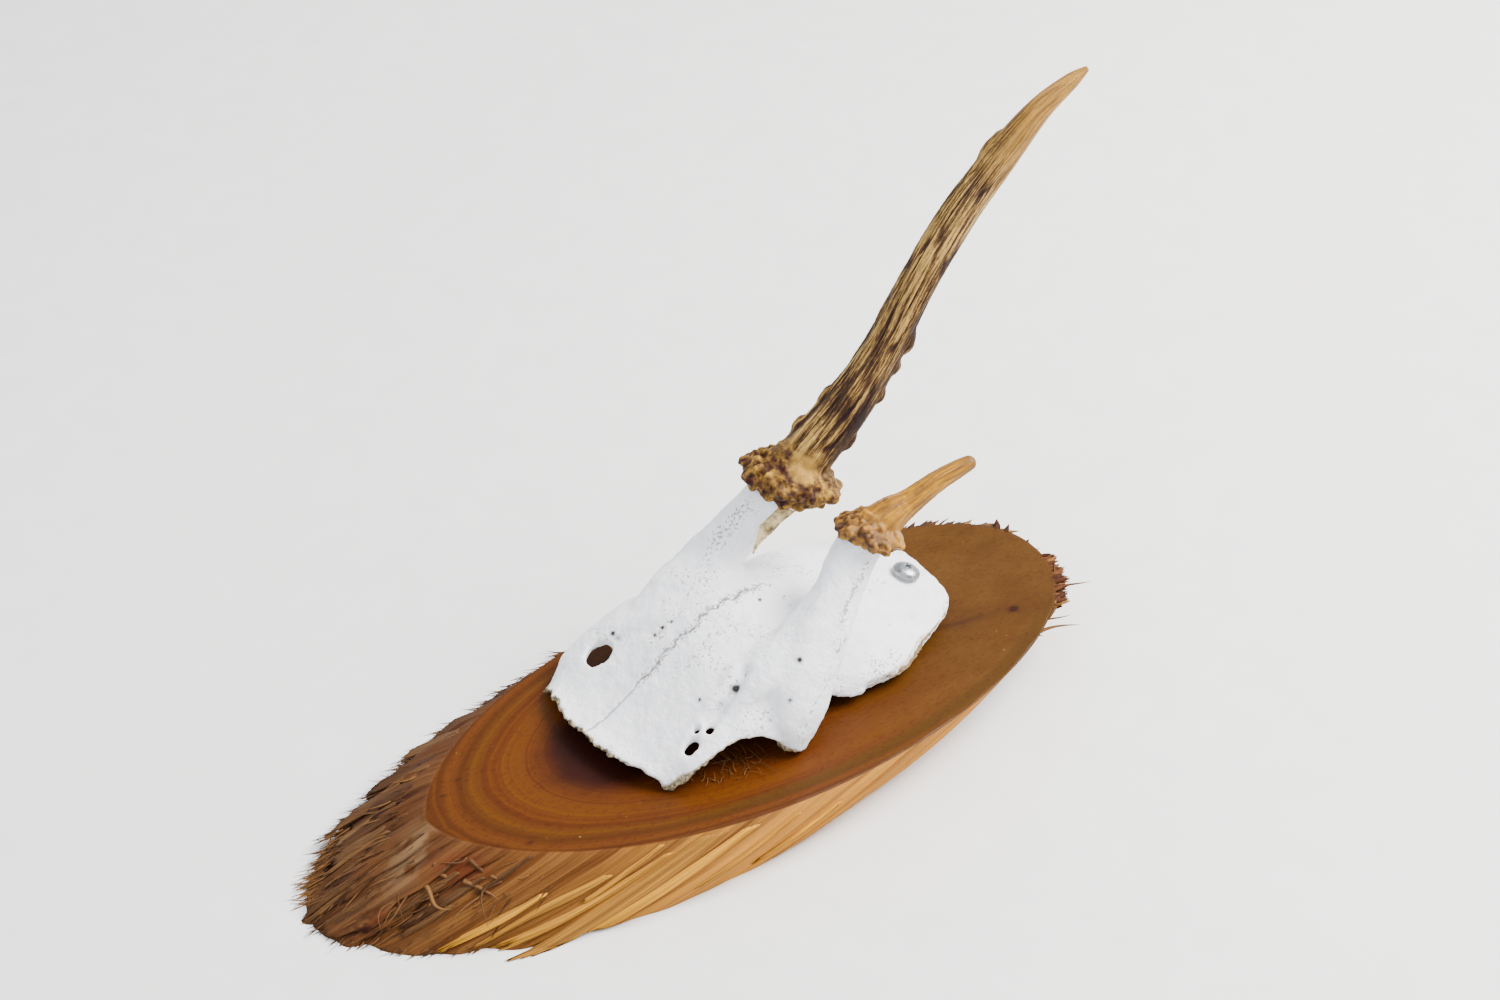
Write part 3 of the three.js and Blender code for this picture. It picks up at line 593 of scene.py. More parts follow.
def peels(peeled):
    """Strips torn from the side and lying on it: each runs from one turn and level to another, as wide as
    given, and lifts off towards its lower end, where a wave cuts its tip back raggedly."""
    points, faces, shades, weaves, start = [], [], [], [], 0
    s, w = np.meshgrid(np.linspace(0, 1, PEEL_ROWS), np.linspace(-1, 1, PEEL_COLUMNS), indexing="ij")
    for k, (t0, level0, t1, level1, width, lift) in enumerate(peeled):
        bite = 3.5 / (10 + 40 * abs(level0 - level1))
        ragged = 1 - bite * (1 + np.sin(9 * w + 2.1 * k) + 0.6 * np.sin(23 * w + k))
        run = s * ragged
        across = w * width / 2 / SIDE_REACH * (0.6 + 0.4 * smooth(s, 0, 0.5)) * (1 - 0.15 * s**4)
        t = t0 + (t1 - t0) * run + across
        level = level0 + (level1 - level0) * run
        hump = 0.55 * np.sqrt(np.clip(1 - w * w, 0, 1)) * (1 - s**6) + 0.12 * np.sin(14 * w + 3 * s + k)
        over = wall_at(t, np.clip(level, 0.0, 1.0), 0.15 + hump + lift * s**2)
        under = wall_at(t, np.clip(level, 0.0, 1.0), -0.35 + lift * s**2 * 0.9)
        beyond = np.minimum(level, 0)[..., None] * np.array([SLICE["overhang"], 0, 0.0])
        over, under = over + beyond, under + beyond
        over[..., 2] = np.maximum(over[..., 2], 0.3)
        under[..., 2] = np.maximum(under[..., 2], 0.1)
        body = with_poles(np.concatenate([over, under[:, ::-1]], 1))
        weave = np.stack([w * width / METRE, 0 * w + k * 0.013, s * 0.0012], -1)
        weaves.append(with_poles(np.concatenate([weave, weave[:, ::-1]], 1)))
        points.append(body)
        faces += [[i + start for i in face] for face in capped(PEEL_ROWS, 2 * PEEL_COLUMNS)]
        shades.append(np.full(len(body), (k * 0.37) % 1))
        start += len(body)
    return np.concatenate(points), faces, np.concatenate(shades), np.concatenate(weaves)


pale = Finish("torn_strip")
streaks = pale.grain(pale.field("weave", "Vector"), 520.0, 5.0, 0.7)
colour = pale.shades(pale.weighed(pale.field("shade"), 0.22, streaks, 0.8), (0.25, "573406"), (0.4, "8c5f24"),
                     (0.55, "b97f21"), (0.75, "edab1c"))
pale_finish = pale.done(colour, 0.8, pale.bump(streaks, 0.0007, 0.7), Specular_IOR_Level=0.2)
bast = Finish("bast_ribbon")
streaks = bast.grain(bast.field("weave", "Vector"), 620.0, 6.0, 0.75)
colour = bast.shades(bast.weighed(bast.field("shade"), 0.3, streaks, 0.75), (0.3, "2d1203"), (0.42, "42260f"),
                     (0.55, "52351b"), (0.72, "6f4d29"))
bast_finish = bast.done(colour, 0.82, bast.bump(streaks, 0.0009, 0.8), Specular_IOR_Level=0.2)
points, faces, shade, weave = peels(PALE_STRIPS)
make("torn_strips", points, faces, pale_finish, "varnished_wood", shade=shade, weave=weave)
chance = np.random.default_rng(37)
starts = np.linspace(1.85, 3.78, SMALL_RIBBONS) + chance.normal(0, 0.03, SMALL_RIBBONS)
top_ends = chance.uniform(0.45, 0.97, SMALL_RIBBONS)
low_ends = np.maximum(top_ends - chance.uniform(0.25, 0.75, SMALL_RIBBONS), 0.02)
ends = starts - SPIRAL * (top_ends - low_ends)
wides = chance.uniform(1.2, 4.6, SMALL_RIBBONS)
lifts = chance.uniform(0.2, 1.3, SMALL_RIBBONS) + 1.5 * np.exp(-(((starts - 2.35) / 0.22) ** 2))
small_ribbons = np.stack([starts, top_ends, ends, low_ends, wides, lifts], -1).tolist()
points, faces, shade, weave = peels(BIG_RIBBONS + small_ribbons)
make("bast_ribbons", points, faces, bast_finish, "varnished_wood", shade=shade, weave=weave)

# ---- Skull cap ----
# The roof of a roe deer's skull: bone about 3.6 mm thick, sawn off in front of the eyes and behind the crown,
# with the two stumps that carry the antlers grown out of it. It is brushed with matte white paint.
CAP_LENGTH, BONE = 115.0, 3.6
MIDLINE = [(0, 7), (8, 9), (18, 14.6), (32, 24), (45, 29), (57, 28.2), (76, 20.8), (96, 12.8), (115, 6.6)]
HALF_WIDTH = [(0, 22.5), (6, 24.6), (14, 28.8), (28, 29.7), (43, 34.6), (47, 34), (51, 28.5), (56, 26.5),
              (74, 31), (86, 31.2), (97, 27), (115, 26)]
EDGE_HEIGHT = [(0, 3), (8, 0.3), (14, 5.5), (24, 10), (34, 9.5), (43, 2.6), (46.5, 0.3), (50, 3.5), (57, 7.5),
               (65, 3.5), (75, 2.4), (115, 2)]
TALL_PEDICLE = [(45.5, 31, 1, 4, 3.4), (50, 27, 11, 9, 5.5), (57, 22.5, 22, 9, 6.6), (64, 18.6, 32, 7.2, 6.4),
                (71.6, 15.4, 40.6, 7.2, 6.8), (78, 14.6, 44.6, 7.2, 7.2)]
SHORT_PEDICLE = [(44.5, -32.5, 1, 4, 3.4), (49, -29.5, 12, 9.5, 5.5), (58.5, -24.5, 24, 9, 6.4),
                 (68, -20, 32.5, 6.8, 6.4), (76.4, -16.2, 40, 6.4, 6.4), (81, -15.2, 44.2, 6.2, 6.2)]
NEAR_WEB = [(30, -20, 15.2, 3.4, 5), (42, -21.5, 21.4, 4.2, 6.2), (54, -21, 26, 4.8, 6.2),
            (64, -19, 31, 5, 5.4),
            (72, -17, 36.4, 4.6, 4.8)]
FAR_WEB = [(32, 18, 17, 3.4, 6), (44, 18.5, 22.4, 4.2, 8), (56, 17.5, 26.4, 4.6, 7.5), (66, 16.4, 33, 4.4, 5.5)]
HOLES = [(16.7, 17.8, 3.4, 3.7), (18.4, -23.6, 2.3, 1.5), (24, -23.8, 1.4, 1.1), (21.6, -21.6, 1.1, 0.9)]
SKULL_FRONT, SKULL_TURN = np.array([-17.5, 5.0, 19.0]), np.radians(5.0)


def on_slice(points):
    """Places in the skull's own frame, turned 5 degrees and set on the slice."""
    x, y, z = np.moveaxis(points, -1, 0)
    ahead, aside = np.cos(SKULL_TURN), np.sin(SKULL_TURN)
    return np.stack([x * ahead - y * aside, x * aside + y * ahead, z], -1) + SKULL_FRONT


def through(stations, x):
    """A smooth line through the stations: a cubic whose slope at each is that of its neighbours' chord."""
    at, value = np.array(stations, float).T
    first, last = (value[1] - value[0]) / (at[1] - at[0]), (value[-1] - value[-2]) / (at[-1] - at[-2])
    slope = np.concatenate([[first], (value[2:] - value[:-2]) / (at[2:] - at[:-2]), [last]])
    i = np.clip(np.searchsorted(at, x, side="right") - 1, 0, len(at) - 2)
    span = at[i + 1] - at[i]
    t = np.clip((x - at[i]) / span, 0, 1)
    ease = t * t * (3 - 2 * t)
    bend = span * t * (1 - t) * (slope[i] * (1 - t) - slope[i + 1] * t)
    return value[i] * (1 - ease) + value[i + 1] * ease + bend


def curve_through(stations, t):
    """A curve through points that start with x, y and z, t from 0 to 1: cubics whose tangents allow for the
    square root of each gap's length."""
    knots = np.array([s[:3] for s in stations], float)
    knots = np.concatenate([[2 * knots[0] - knots[1]], knots, [2 * knots[-1] - knots[-2]]])
    i = np.clip(np.floor(t * (len(stations) - 1)).astype(int), 0, len(stations) - 2)
    w = (t * (len(stations) - 1) - i)[:, None]
    a, b, c, d = knots[i], knots[i + 1], knots[i + 2], knots[i + 3]
    ab, bc, cd = (np.linalg.norm(q - p, axis=1, keepdims=True) ** 0.5 for p, q in ((a, b), (b, c), (c, d)))
    leave = ((b - a) / ab - (c - a) / (ab + bc) + (c - b) / bc) * bc
    arrive = ((c - b) / bc - (d - b) / (bc + cd) + (d - c) / cd) * bc
    return b + leave * w + (3 * (c - b) - 2 * leave - arrive) * w**2 + (2 * (b - c) + leave + arrive) * w**3


def directions(path):
    """Along, sideways and upwards at each point of a path that never runs straight across the skull."""
    along = np.gradient(path, axis=0)
    along /= np.linalg.norm(along, axis=1, keepdims=True)
    sideways = np.array([0.0, 1, 0]) - along * along[:, 1:2]
    sideways /= np.linalg.norm(sideways, axis=1, keepdims=True)
    return along, sideways, np.cross(sideways, along)


def front_edge(v):
    """How far behind the skull's front the sawn edge lies at v, -1 to 1 across, with the saw's nicks."""
    return 6 * np.abs(v) ** 2.2 + 0.6 * (np.sin(13 * v) + np.sin(31 * v)) * v * v


def cap_at(u, v, depth):
    """The cap at u (0 front, 1 back) and v (-1 to 1 across), sunk by depth: an arch on its side edges, flat at
    the front and round over the brain, with a crest along the midline and a swell at each stump's foot."""
    front, back = front_edge(v), CAP_LENGTH - 19 * np.abs(v) ** np.where(v < 0, 5.6, 4.0)
    x = front + (back - front) * u
    edge = through(EDGE_HEIGHT, x)
    y = v * (through(HALF_WIDTH, x) - depth)
    dome = smooth(x, 12, 42)
    brow = 3.6 * np.exp(-(((x - 53) / 12) ** 2) - ((np.abs(y) - 19.5) / 8) ** 2)
    crest = 1.1 * (np.exp(-((y / 3.5) ** 2)) - 1) * (1 - smooth(x, 50, 80))
    crown = np.maximum(through(MIDLINE, x) + crest + brow - depth, edge)
    rise = (1 - np.abs(v) ** (3.6 - 1.8 * dome)) ** (0.46 + 0.2 * dome)
    return np.stack([x - 2.6 * v * (1 - u) ** 2, y, edge + (crown - edge) * rise], -1)


def rod(stations, rows, columns):
    """A round bar along a curve; each station also gives its radius along the skull and across it."""
    t = np.linspace(0, 1, rows)
    path = curve_through(stations, t)
    _, sideways, up = directions(path)
    knots = np.linspace(0, 1, len(stations))
    long, wide = (through(list(zip(knots, [s[k] for s in stations])), t) for k in (3, 4))
    turn = 2 * np.pi * np.arange(columns) / columns
    grid = (path[:, None] + up[:, None] * (long[:, None] * np.cos(turn))[..., None]
            + sideways[:, None] * (wide[:, None] * np.sin(turn))[..., None])
    return with_poles(grid), capped(rows, columns)


def bare_mesh(name, points, faces):
    mesh = bpy.data.meshes.new(name)
    mesh.from_pydata((points / 1000).tolist(), [], faces)
    body = bpy.data.objects.new(name, mesh)
    bpy.context.scene.collection.objects.link(body)
    return body


def read_mesh(body):
    """Points in millimetres and faces of a body as its modifiers leave it; the body is then thrown away."""
    mesh = bpy.data.meshes.new_from_object(body.evaluated_get(bpy.context.evaluated_depsgraph_get()))
    points = np.empty(3 * len(mesh.vertices))
    mesh.vertices.foreach_get("co", points)
    faces = [list(face.vertices) for face in mesh.polygons]
    bpy.data.meshes.remove(mesh)
    bpy.data.objects.remove(body)
    return points.reshape(-1, 3) * 1000, faces


def grown_together(bodies, grid_mm, rounds):
    """Closed bodies that overlap, as one skin: laid over a fine cubic grid, then eased so that they blend."""
    points, faces, start = [], [], 0
    for body_points, body_faces in bodies:
        points.append(body_points)
        faces += [[k + start for k in face] for face in body_faces]
        start += len(body_points)
    body = bare_mesh("blank", np.concatenate(points), faces)
    remesh = body.modifiers.new("skin", "REMESH")
    remesh.mode = "VOXEL"
    remesh.voxel_size = grid_mm / 1000
    points, faces = read_mesh(body)
    faces = np.array(faces)
    for _ in range(rounds):
        points = points + 0.6 * (beside(points, faces) - points)
    return points, faces


def beside(points, faces):
    """The middle of each point's neighbours in a mesh of four-sided faces."""
    total, count = np.zeros_like(points), np.zeros(len(points))
    for a, b in ((0, 1), (1, 2), (2, 3), (3, 0)):
        for p, q in ((faces[:, a], faces[:, b]), (faces[:, b], faces[:, a])):
            total += np.stack([np.bincount(p, points[q, k], len(points)) for k in range(3)], -1)
            count += np.bincount(p, minlength=len(points))
    return total / count[:, None]


def facing_out(points, faces):
    """The outward direction at each point: its faces' directions, weighted by their size."""
    across = np.cross(points[faces[:, 2]] - points[faces[:, 0]], points[faces[:, 3]] - points[faces[:, 1]])
    out = np.zeros_like(points)
    for corner in range(4):
        out += np.stack([np.bincount(faces[:, corner], across[:, k], len(points)) for k in range(3)], -1)
    return out / np.linalg.norm(out, axis=1, keepdims=True)


rows, columns = 130, 90
u, v = np.meshgrid(np.linspace(0, 1, rows), np.sin(np.pi / 2 * np.linspace(-1, 1, columns)), indexing="ij")
thin = BONE * (0.5 + 0.5 * smooth(u * CAP_LENGTH, 0, 14))
skins = np.stack([cap_at(u, v, 0.0), cap_at(u, v, thin)])
outer = rows_to_faces(rows, columns, closed=False)
inner = outer[:, ::-1] + rows * columns
edge = np.concatenate([np.arange(columns), np.arange(1, rows) * columns + columns - 1,
                       (rows - 1) * columns + np.arange(columns - 2, -1, -1),
                       np.arange(rows - 2, 0, -1) * columns])
edge_next = np.roll(edge, -1)
wall = np.stack([edge, edge_next, edge_next + rows * columns, edge + rows * columns], -1)
shell_faces = np.concatenate([outer[:, ::-1], inner[:, ::-1], wall]).tolist()
shell = bare_mesh("shell", skins.reshape(-1, 3), shell_faces)

turn = 2 * np.pi * np.arange(40) / 40
plugs, plug_faces = [], []
for n, (x, y, long, wide) in enumerate(HOLES):
    ring_of = np.stack([x + long * np.cos(turn), y + wide * np.sin(turn), 0 * turn], -1)
    plug = with_poles(np.stack([ring_of - [0, 0, 5], ring_of + [0, 0, 45]]))
    plugs.append(plug)
    plug_faces += [[k + n * len(plug) for k in face] for face in capped(2, 40)]
cutter = bare_mesh("cutter", np.concatenate(plugs), plug_faces)
cut = shell.modifiers.new("holes", "BOOLEAN")
cut.object, cut.operation, cut.solver = cutter, "DIFFERENCE", "EXACT"
drilled = read_mesh(shell)
bpy.data.objects.remove(cutter)

skull, faces = grown_together([drilled, rod(TALL_PEDICLE, 60, 48), rod(SHORT_PEDICLE, 60, 48),
                              rod(NEAR_WEB, 50, 48), rod(FAR_WEB, 50, 48)], 0.55, 3)
fillable = smooth(skull[:, 0], 30, 36) * smooth(skull[:, 2], 9, 14)
for k in range(60):
    if k % 15 == 0:
        out = facing_out(skull, faces)
    pull = beside(skull, faces) - skull
    hollow = (pull * out).sum(1) > 0
    skull = skull + 0.7 * pull * (hollow * fillable)[:, None]
for _ in range(3):
    skull = skull + 0.6 * (beside(skull, faces) - skull)
out = facing_out(skull, faces)
x, y, z = skull.T
face_up = smooth(out[:, 2], -0.15, 0.35)
v = np.clip(y / through(HALF_WIDTH, x), -1, 1)
from_front = x - front_edge(v) + 2.6 * v * (1 - x / CAP_LENGTH) ** 2
on_cap = smooth(through(MIDLINE, x) + 5.5 - z, 0, 3)


def near_line(places, width):
    """1 along a broken line over the skull, fading out beyond width."""
    p = skull[:, None]
    a, b = np.array(places[:-1], float), np.array(places[1:], float)
    t = np.clip(((p - a) * (b - a)).sum(-1) / ((b - a) ** 2).sum(-1), 0, 1)
    gap = np.linalg.norm(p - a - (b - a) * t[..., None], axis=-1).min(1)
    return np.exp(-((gap / width) ** 2))


lengthwise = skull * [1, 0, 0]
zigzag = 1.1 * smooth(x, 10, 30) * roughness(lengthwise, 1.6, 3) + 0.35 * roughness(lengthwise, 5, 4)
seam = np.where((x < 62) & (face_up > 0.3), np.clip(y - zigzag, -6, 6), 6.0)
suture = np.exp(-((seam / 0.6) ** 2))
gutter = near_line([(25, -22.6, 15), (30, -22.2, 18.5), (34.5, -21.4, 21), (38, -20, 23.2)], 1.6)
bank = near_line([(27, -19.4, 18), (32, -18.6, 20.5), (37, -17.4, 23.4)], 1.8)
far_gutter = near_line([(19, 17.5, 13), (23, 15.5, 17), (28, 11, 21)], 2.4)
fin_line = near_line([(45, -34.6, 8), (48.5, -33.6, 14), (53, -32.4, 18), (57.5, -30.8, 22),
                      (61, -28.8, 27.6), (65, -26.6, 33),
                      (69, -24.6, 36.5), (76, -22, 41)], 1.5)
scratches = near_line([(69, -0.6, 24.5), (73, -1.9, 22.9)], 0.7) + near_line([(66, 2.5, 26), (70, 2, 25)], 0.8)
smudge = near_line([(64.5, 14.3, 42.7), (57.2, 17.2, 34.4), (52, 17, 31)], 2.8)
smudge += near_line([(75, -16, 42), (78, -14, 43)], 3.0) + 0.5 * near_line([(60, 12, 34), (50, 10, 30)], 3)
worn_front = np.exp(-np.maximum(from_front, 0) / 1.3)
above_edge = z - through(EDGE_HEIGHT, x)
rear_near = smooth(x, 70, 73) * (y < 0) * on_cap
cut_face = rear_near * (1 - smooth(above_edge + 0.8 * roughness(skull, 5, 86), 3.6, 4.1))
low_rim = np.exp(-np.maximum(above_edge, 0) / 0.9) * (out[:, 2] < 0.75) * (y < 0) * on_cap
pitted = np.exp(-(((y - 0.5 * zigzag) / 2.1) ** 2)) * smooth(x, 14, 20) * (1 - smooth(x, 56, 64)) * face_up
pitted = np.maximum.reduce([0.9 * pitted, 0.9 * fin_line, 0.75 * smudge, scratches * 1.5,
                            0.5 * worn_front, 0.45 * gutter, 0.3 * far_gutter,
                            0.5 * on_cap * face_up * smooth(roughness(skull, 7, 88), 0.0, 0.6)])
lumpy = 0.2 * rough_sum(skull, 7, 61) + 0.11 * rough_sum(skull, 2.6, 65, 2)
lumpy = lumpy + 0.07 * rough_sum(skull, 1.3, 71) * face_up
deep = 0.25 * suture + 2.4 * gutter - 0.8 * bank + 0.9 * far_gutter - 0.35 * fin_line
deep += 0.6 * np.maximum(4.0 - above_edge, 0) * cut_face
skull = skull + out * (lumpy - deep)[:, None]
ragged = 0.8 * rough_sum(skull, 1.5, 81, 2) + 0.9 * roughness(skull, 0.95, 85)
skull[:, 0] += 1.0 * (ragged + 0.2) * np.exp(-np.maximum(from_front, 0) / 1.0) * (out[:, 0] < 0.2)
skull += out * (0.35 * ragged * (low_rim + cut_face * (above_edge < 1.2)))[:, None]
PIN_HOLES = np.array([
    (28.4, 7.3, 20.8, 0.5), (30.9, 7.1, 22.2, 0.6), (33.4, 6.4, 23.5, 0.5), (22.3, 16.7, 16.3, 0.9),
    (22.4, 18.9, 16, 0.7), (26, -16.8, 17.4, 0.5), (39, -29.9, 12.9, 0.6), (44.1, -31.7, 18.7, 0.6),
    (49.8, -28.2, 27.1, 0.7), (61, -30.1, 25.7, 0.6), (64.1, -29.1, 26.7, 0.6), (54.9, -4.1, 27.5, 0.5),
    (82, -14, 18, 0.5), (88, -20, 12, 0.5), (41, -27, 15, 0.5), (47, -32, 10, 0.6),
    (21, 12, 17, 0.5), (36, 2.6, 26.8, 0.5), (34.2, -21.3, 20.2, 1.1), (35.6, -21, 19.6, 0.8),
    (57, -30.6, 19, 0.7), (54, -31.6, 15, 0.7)])
dots = sum(np.exp(-(np.linalg.norm(skull - hole[:3], axis=1) / hole[3]) ** 2) for hole in PIN_HOLES)
sawn = np.exp(-np.maximum(from_front, 0) / 1.1)
raw_edge = np.maximum.reduce([sawn, 0.9 * low_rim * (x < 60), 0.5 * cut_face])
corner = near_line([(1.5, -20, 4), (3, -24, 3), (9, -26, 1)], 3.0)
corner += 0.8 * near_line([(71, 22, 43), (69, 14, 45)], 2.6)
corner += 0.8 * near_line([(46, -35, 6), (44, -34, 3), (43, -30, 2)], 2.6)

paint = Finish("white_painted_bone")
place = paint.place()
mottle = paint.grain(place, 160.0, 4.0)
coat = paint.shades(mottle, (0.3, "e4e6ec"), (0.5, "f0f1f4"), (0.7, "f6f6f6"))
crumbs = paint.grain(place, 900.0, 4.0)
pits = paint.grain(place, 1100.0, 3.0, 0.65)
bone = paint.shades(crumbs, (0.35, "484132"), (0.48, "796b50"), (0.62, "c1b18c"))
bare_bone = paint.weighed(crumbs, 1.1, paint.field("raw"), 1.0)
colour = paint.mix(paint.spread(bare_bone, 0.95, 1.25), coat, bone)
threshold = paint.sums("MULTIPLY_ADD", paint.field("pitted"), -0.25, 0.705)
pit = paint.spread(paint.sums("SUBTRACT", pits, threshold), 0.0, 0.05)
colour = paint.mix(paint.sums("MULTIPLY", pit, 0.6), colour, "43403e")
wander = paint.sums("MULTIPLY_ADD", paint.sums("SUBTRACT", crumbs, 0.5), 1.6, paint.field("seam"))
line = paint.spread(paint.sums("ABSOLUTE", wander), 0.42, 0.1)
colour = paint.mix(paint.sums("MULTIPLY", line, 0.55), colour, "4e4c4c")
colour = paint.mix(paint.sums("MULTIPLY", paint.field("dots"), 1.6), colour, "170f0a")
colour = paint.mix(paint.field("under"), colour, "745b35")
brushed = paint.grain(paint.stretch(place, (1.0, 1.6, 1.0)), 900.0, 5.0, 0.6)
soft = paint.grain(place, 260.0, 3.0)
relief = paint.sums("MULTIPLY_ADD", soft, 1.4, brushed)
relief = paint.sums("MULTIPLY_ADD", pit, -1.6, paint.sums("MULTIPLY_ADD", line, -1.2, relief))
paint_finish = paint.done(colour, 0.62, paint.bump(relief, 0.0005, 0.65))
under = smooth(-out[:, 2], 0.25, 0.6) * smooth(through(MIDLINE, x) - z, 0.5, 2)
make("painted_skull", on_slice(skull), faces, paint_finish, "painted_bone", "skull_cap",
     raw=np.clip(raw_edge + 0.6 * corner, 0, 1), pitted=np.clip(pitted, 0, 1), seam=seam,
     dots=np.clip(dots * face_up, 0, 1), under=under)

# ---- Skin flap ----
# A scrap of dried skin that still bridges the tall stump and the burr above it: a thin cream sheet with a torn
# outer edge, stuck along the stump and under the burr.
down, outwards = np.meshgrid(np.linspace(0, 1, 48), np.linspace(0, 1, 16), indexing="ij")
ROOT_LINE = [(0, 69, 12.4, 44.4), (0.5, 65.4, 10.2, 37.6), (1, 61.2, 7.9, 32.3)]
root = np.stack([through([(stop[0], stop[k]) for stop in ROOT_LINE], down) for k in (1, 2, 3)], -1)
torn = 1.1 * roughness(root * [0, 0, 1.0], 1.3, 92) * down * (1 - down) + 0.5
reach = outwards * (8.2 * (1 - down) ** 1.5 + torn)
towards = np.array([-0.45, -0.6, 0.3])
bulge = 0.9 * np.sin(np.pi * outwards) * (1 - down)
sheet = root + reach[..., None] * [0.6, -0.75, -0.28] + bulge[..., None] * towards
sheet = np.concatenate([sheet + 0.22 * towards, (sheet - 0.22 * towards)[:, ::-1]], 1)
skin_points = with_poles(sheet)
hide = Finish("dried_skin")
blotches = hide.grain(hide.place(), 420.0, 5.0, 0.65)
hide_finish = hide.done(hide.shades(blotches, (0.35, "51442f"), (0.47, "a0875a"), (0.6, "e1c890")),
                        0.7, hide.bump(blotches, 0.0004, 0.6))
make("skin_flap", on_slice(skin_points), capped(48, 32), hide_finish, "painted_bone")

# ---- Antlers ----
# Solid horny bone, grown over a summer: a beam with long furrows stained brown by bark, over a burr whose rim
# is set with pearls. The tall one's ridges are worn cream and its tip is polished; the short one is honey.
TALL_BEAM = [(77, 15.2, 43.4, 8.6), (86, 14.2, 53, 7.2), (96, 13, 63, 6.5), (108, 13, 76.5, 5.6),
             (121, 14.4, 93, 5.4), (135.4, 15.7, 108.4, 5), (149, 15.6, 121, 4.5), (159, 13, 133, 3.4),
             (167.6, 10.4, 140.1, 2.1), (171.4, 9.2, 142.7, 0.8)]
SHORT_BEAM = [(79.6, -15.2, 43.6, 6.4), (88, -17, 49.4, 5.0), (93, -18.3, 52, 3.6), (100.6, -20.2, 56.6, 2.85),
              (107, -21.8, 59.2, 2.45), (110.6, -22.8, 60.5, 1.9), (111.5, -23, 60.8, 0.9)]
ROUGH_SIDE = np.array([0.53, -0.77, -0.36])


def along_curve(stations, count):
    """Evenly spaced points along a curve, with the radius at each and the distance from the start."""
    t = np.linspace(0, 1, 1200)
    path = curve_through(stations, t)
    run = np.concatenate([[0], np.cumsum(np.linalg.norm(np.diff(path, axis=0), axis=1))])
    even = np.interp(np.linspace(0, run[-1], count), run, t)
    knots = np.linspace(0, 1, len(stations))
    return curve_through(stations, even), through(list(zip(knots, [s[3] for s in stations])), even), run[-1]


def knobs(centres, axes, sizes, stretch):
    """Rounded knobs: balls of 9 by 12 points drawn out along an axis, each a little off round."""
    rise = np.linspace(-np.pi / 2, np.pi / 2, 9)[1:-1, None]
    turn = 2 * np.pi * np.arange(12)[None] / 12
    ball = np.stack([np.cos(rise) * np.cos(turn), np.cos(rise) * np.sin(turn), np.sin(rise) + 0 * turn], -1)
    ball = np.concatenate([ball.reshape(-1, 3), [[0, 0, -1.0], [0, 0, 1.0]]])
    axes = axes / np.linalg.norm(axes, axis=1, keepdims=True)
    side = np.cross(axes, [0.31, 0.83, 0.46])
    side /= np.linalg.norm(side, axis=1, keepdims=True)
    third = np.cross(axes, side)
    spread = ball[None] * np.stack([sizes, sizes, sizes * stretch], -1)[:, None]
    points = (centres[:, None] + spread[..., :1] * side[:, None] + spread[..., 1:2] * third[:, None]
              + spread[..., 2:] * axes[:, None])
    points = points + 0.18 * sizes[:, None, None] * roughness(points * 1.0, 1.6, 5)[..., None]
    one = capped(7, 12)
    faces = [[k + n * len(ball) for k in face] for n in range(len(centres)) for face in one]
    return points.reshape(-1, 3), faces


BEAM_STEPS, BEAM_SIDES, BURR_STEPS = 260, 72, 40


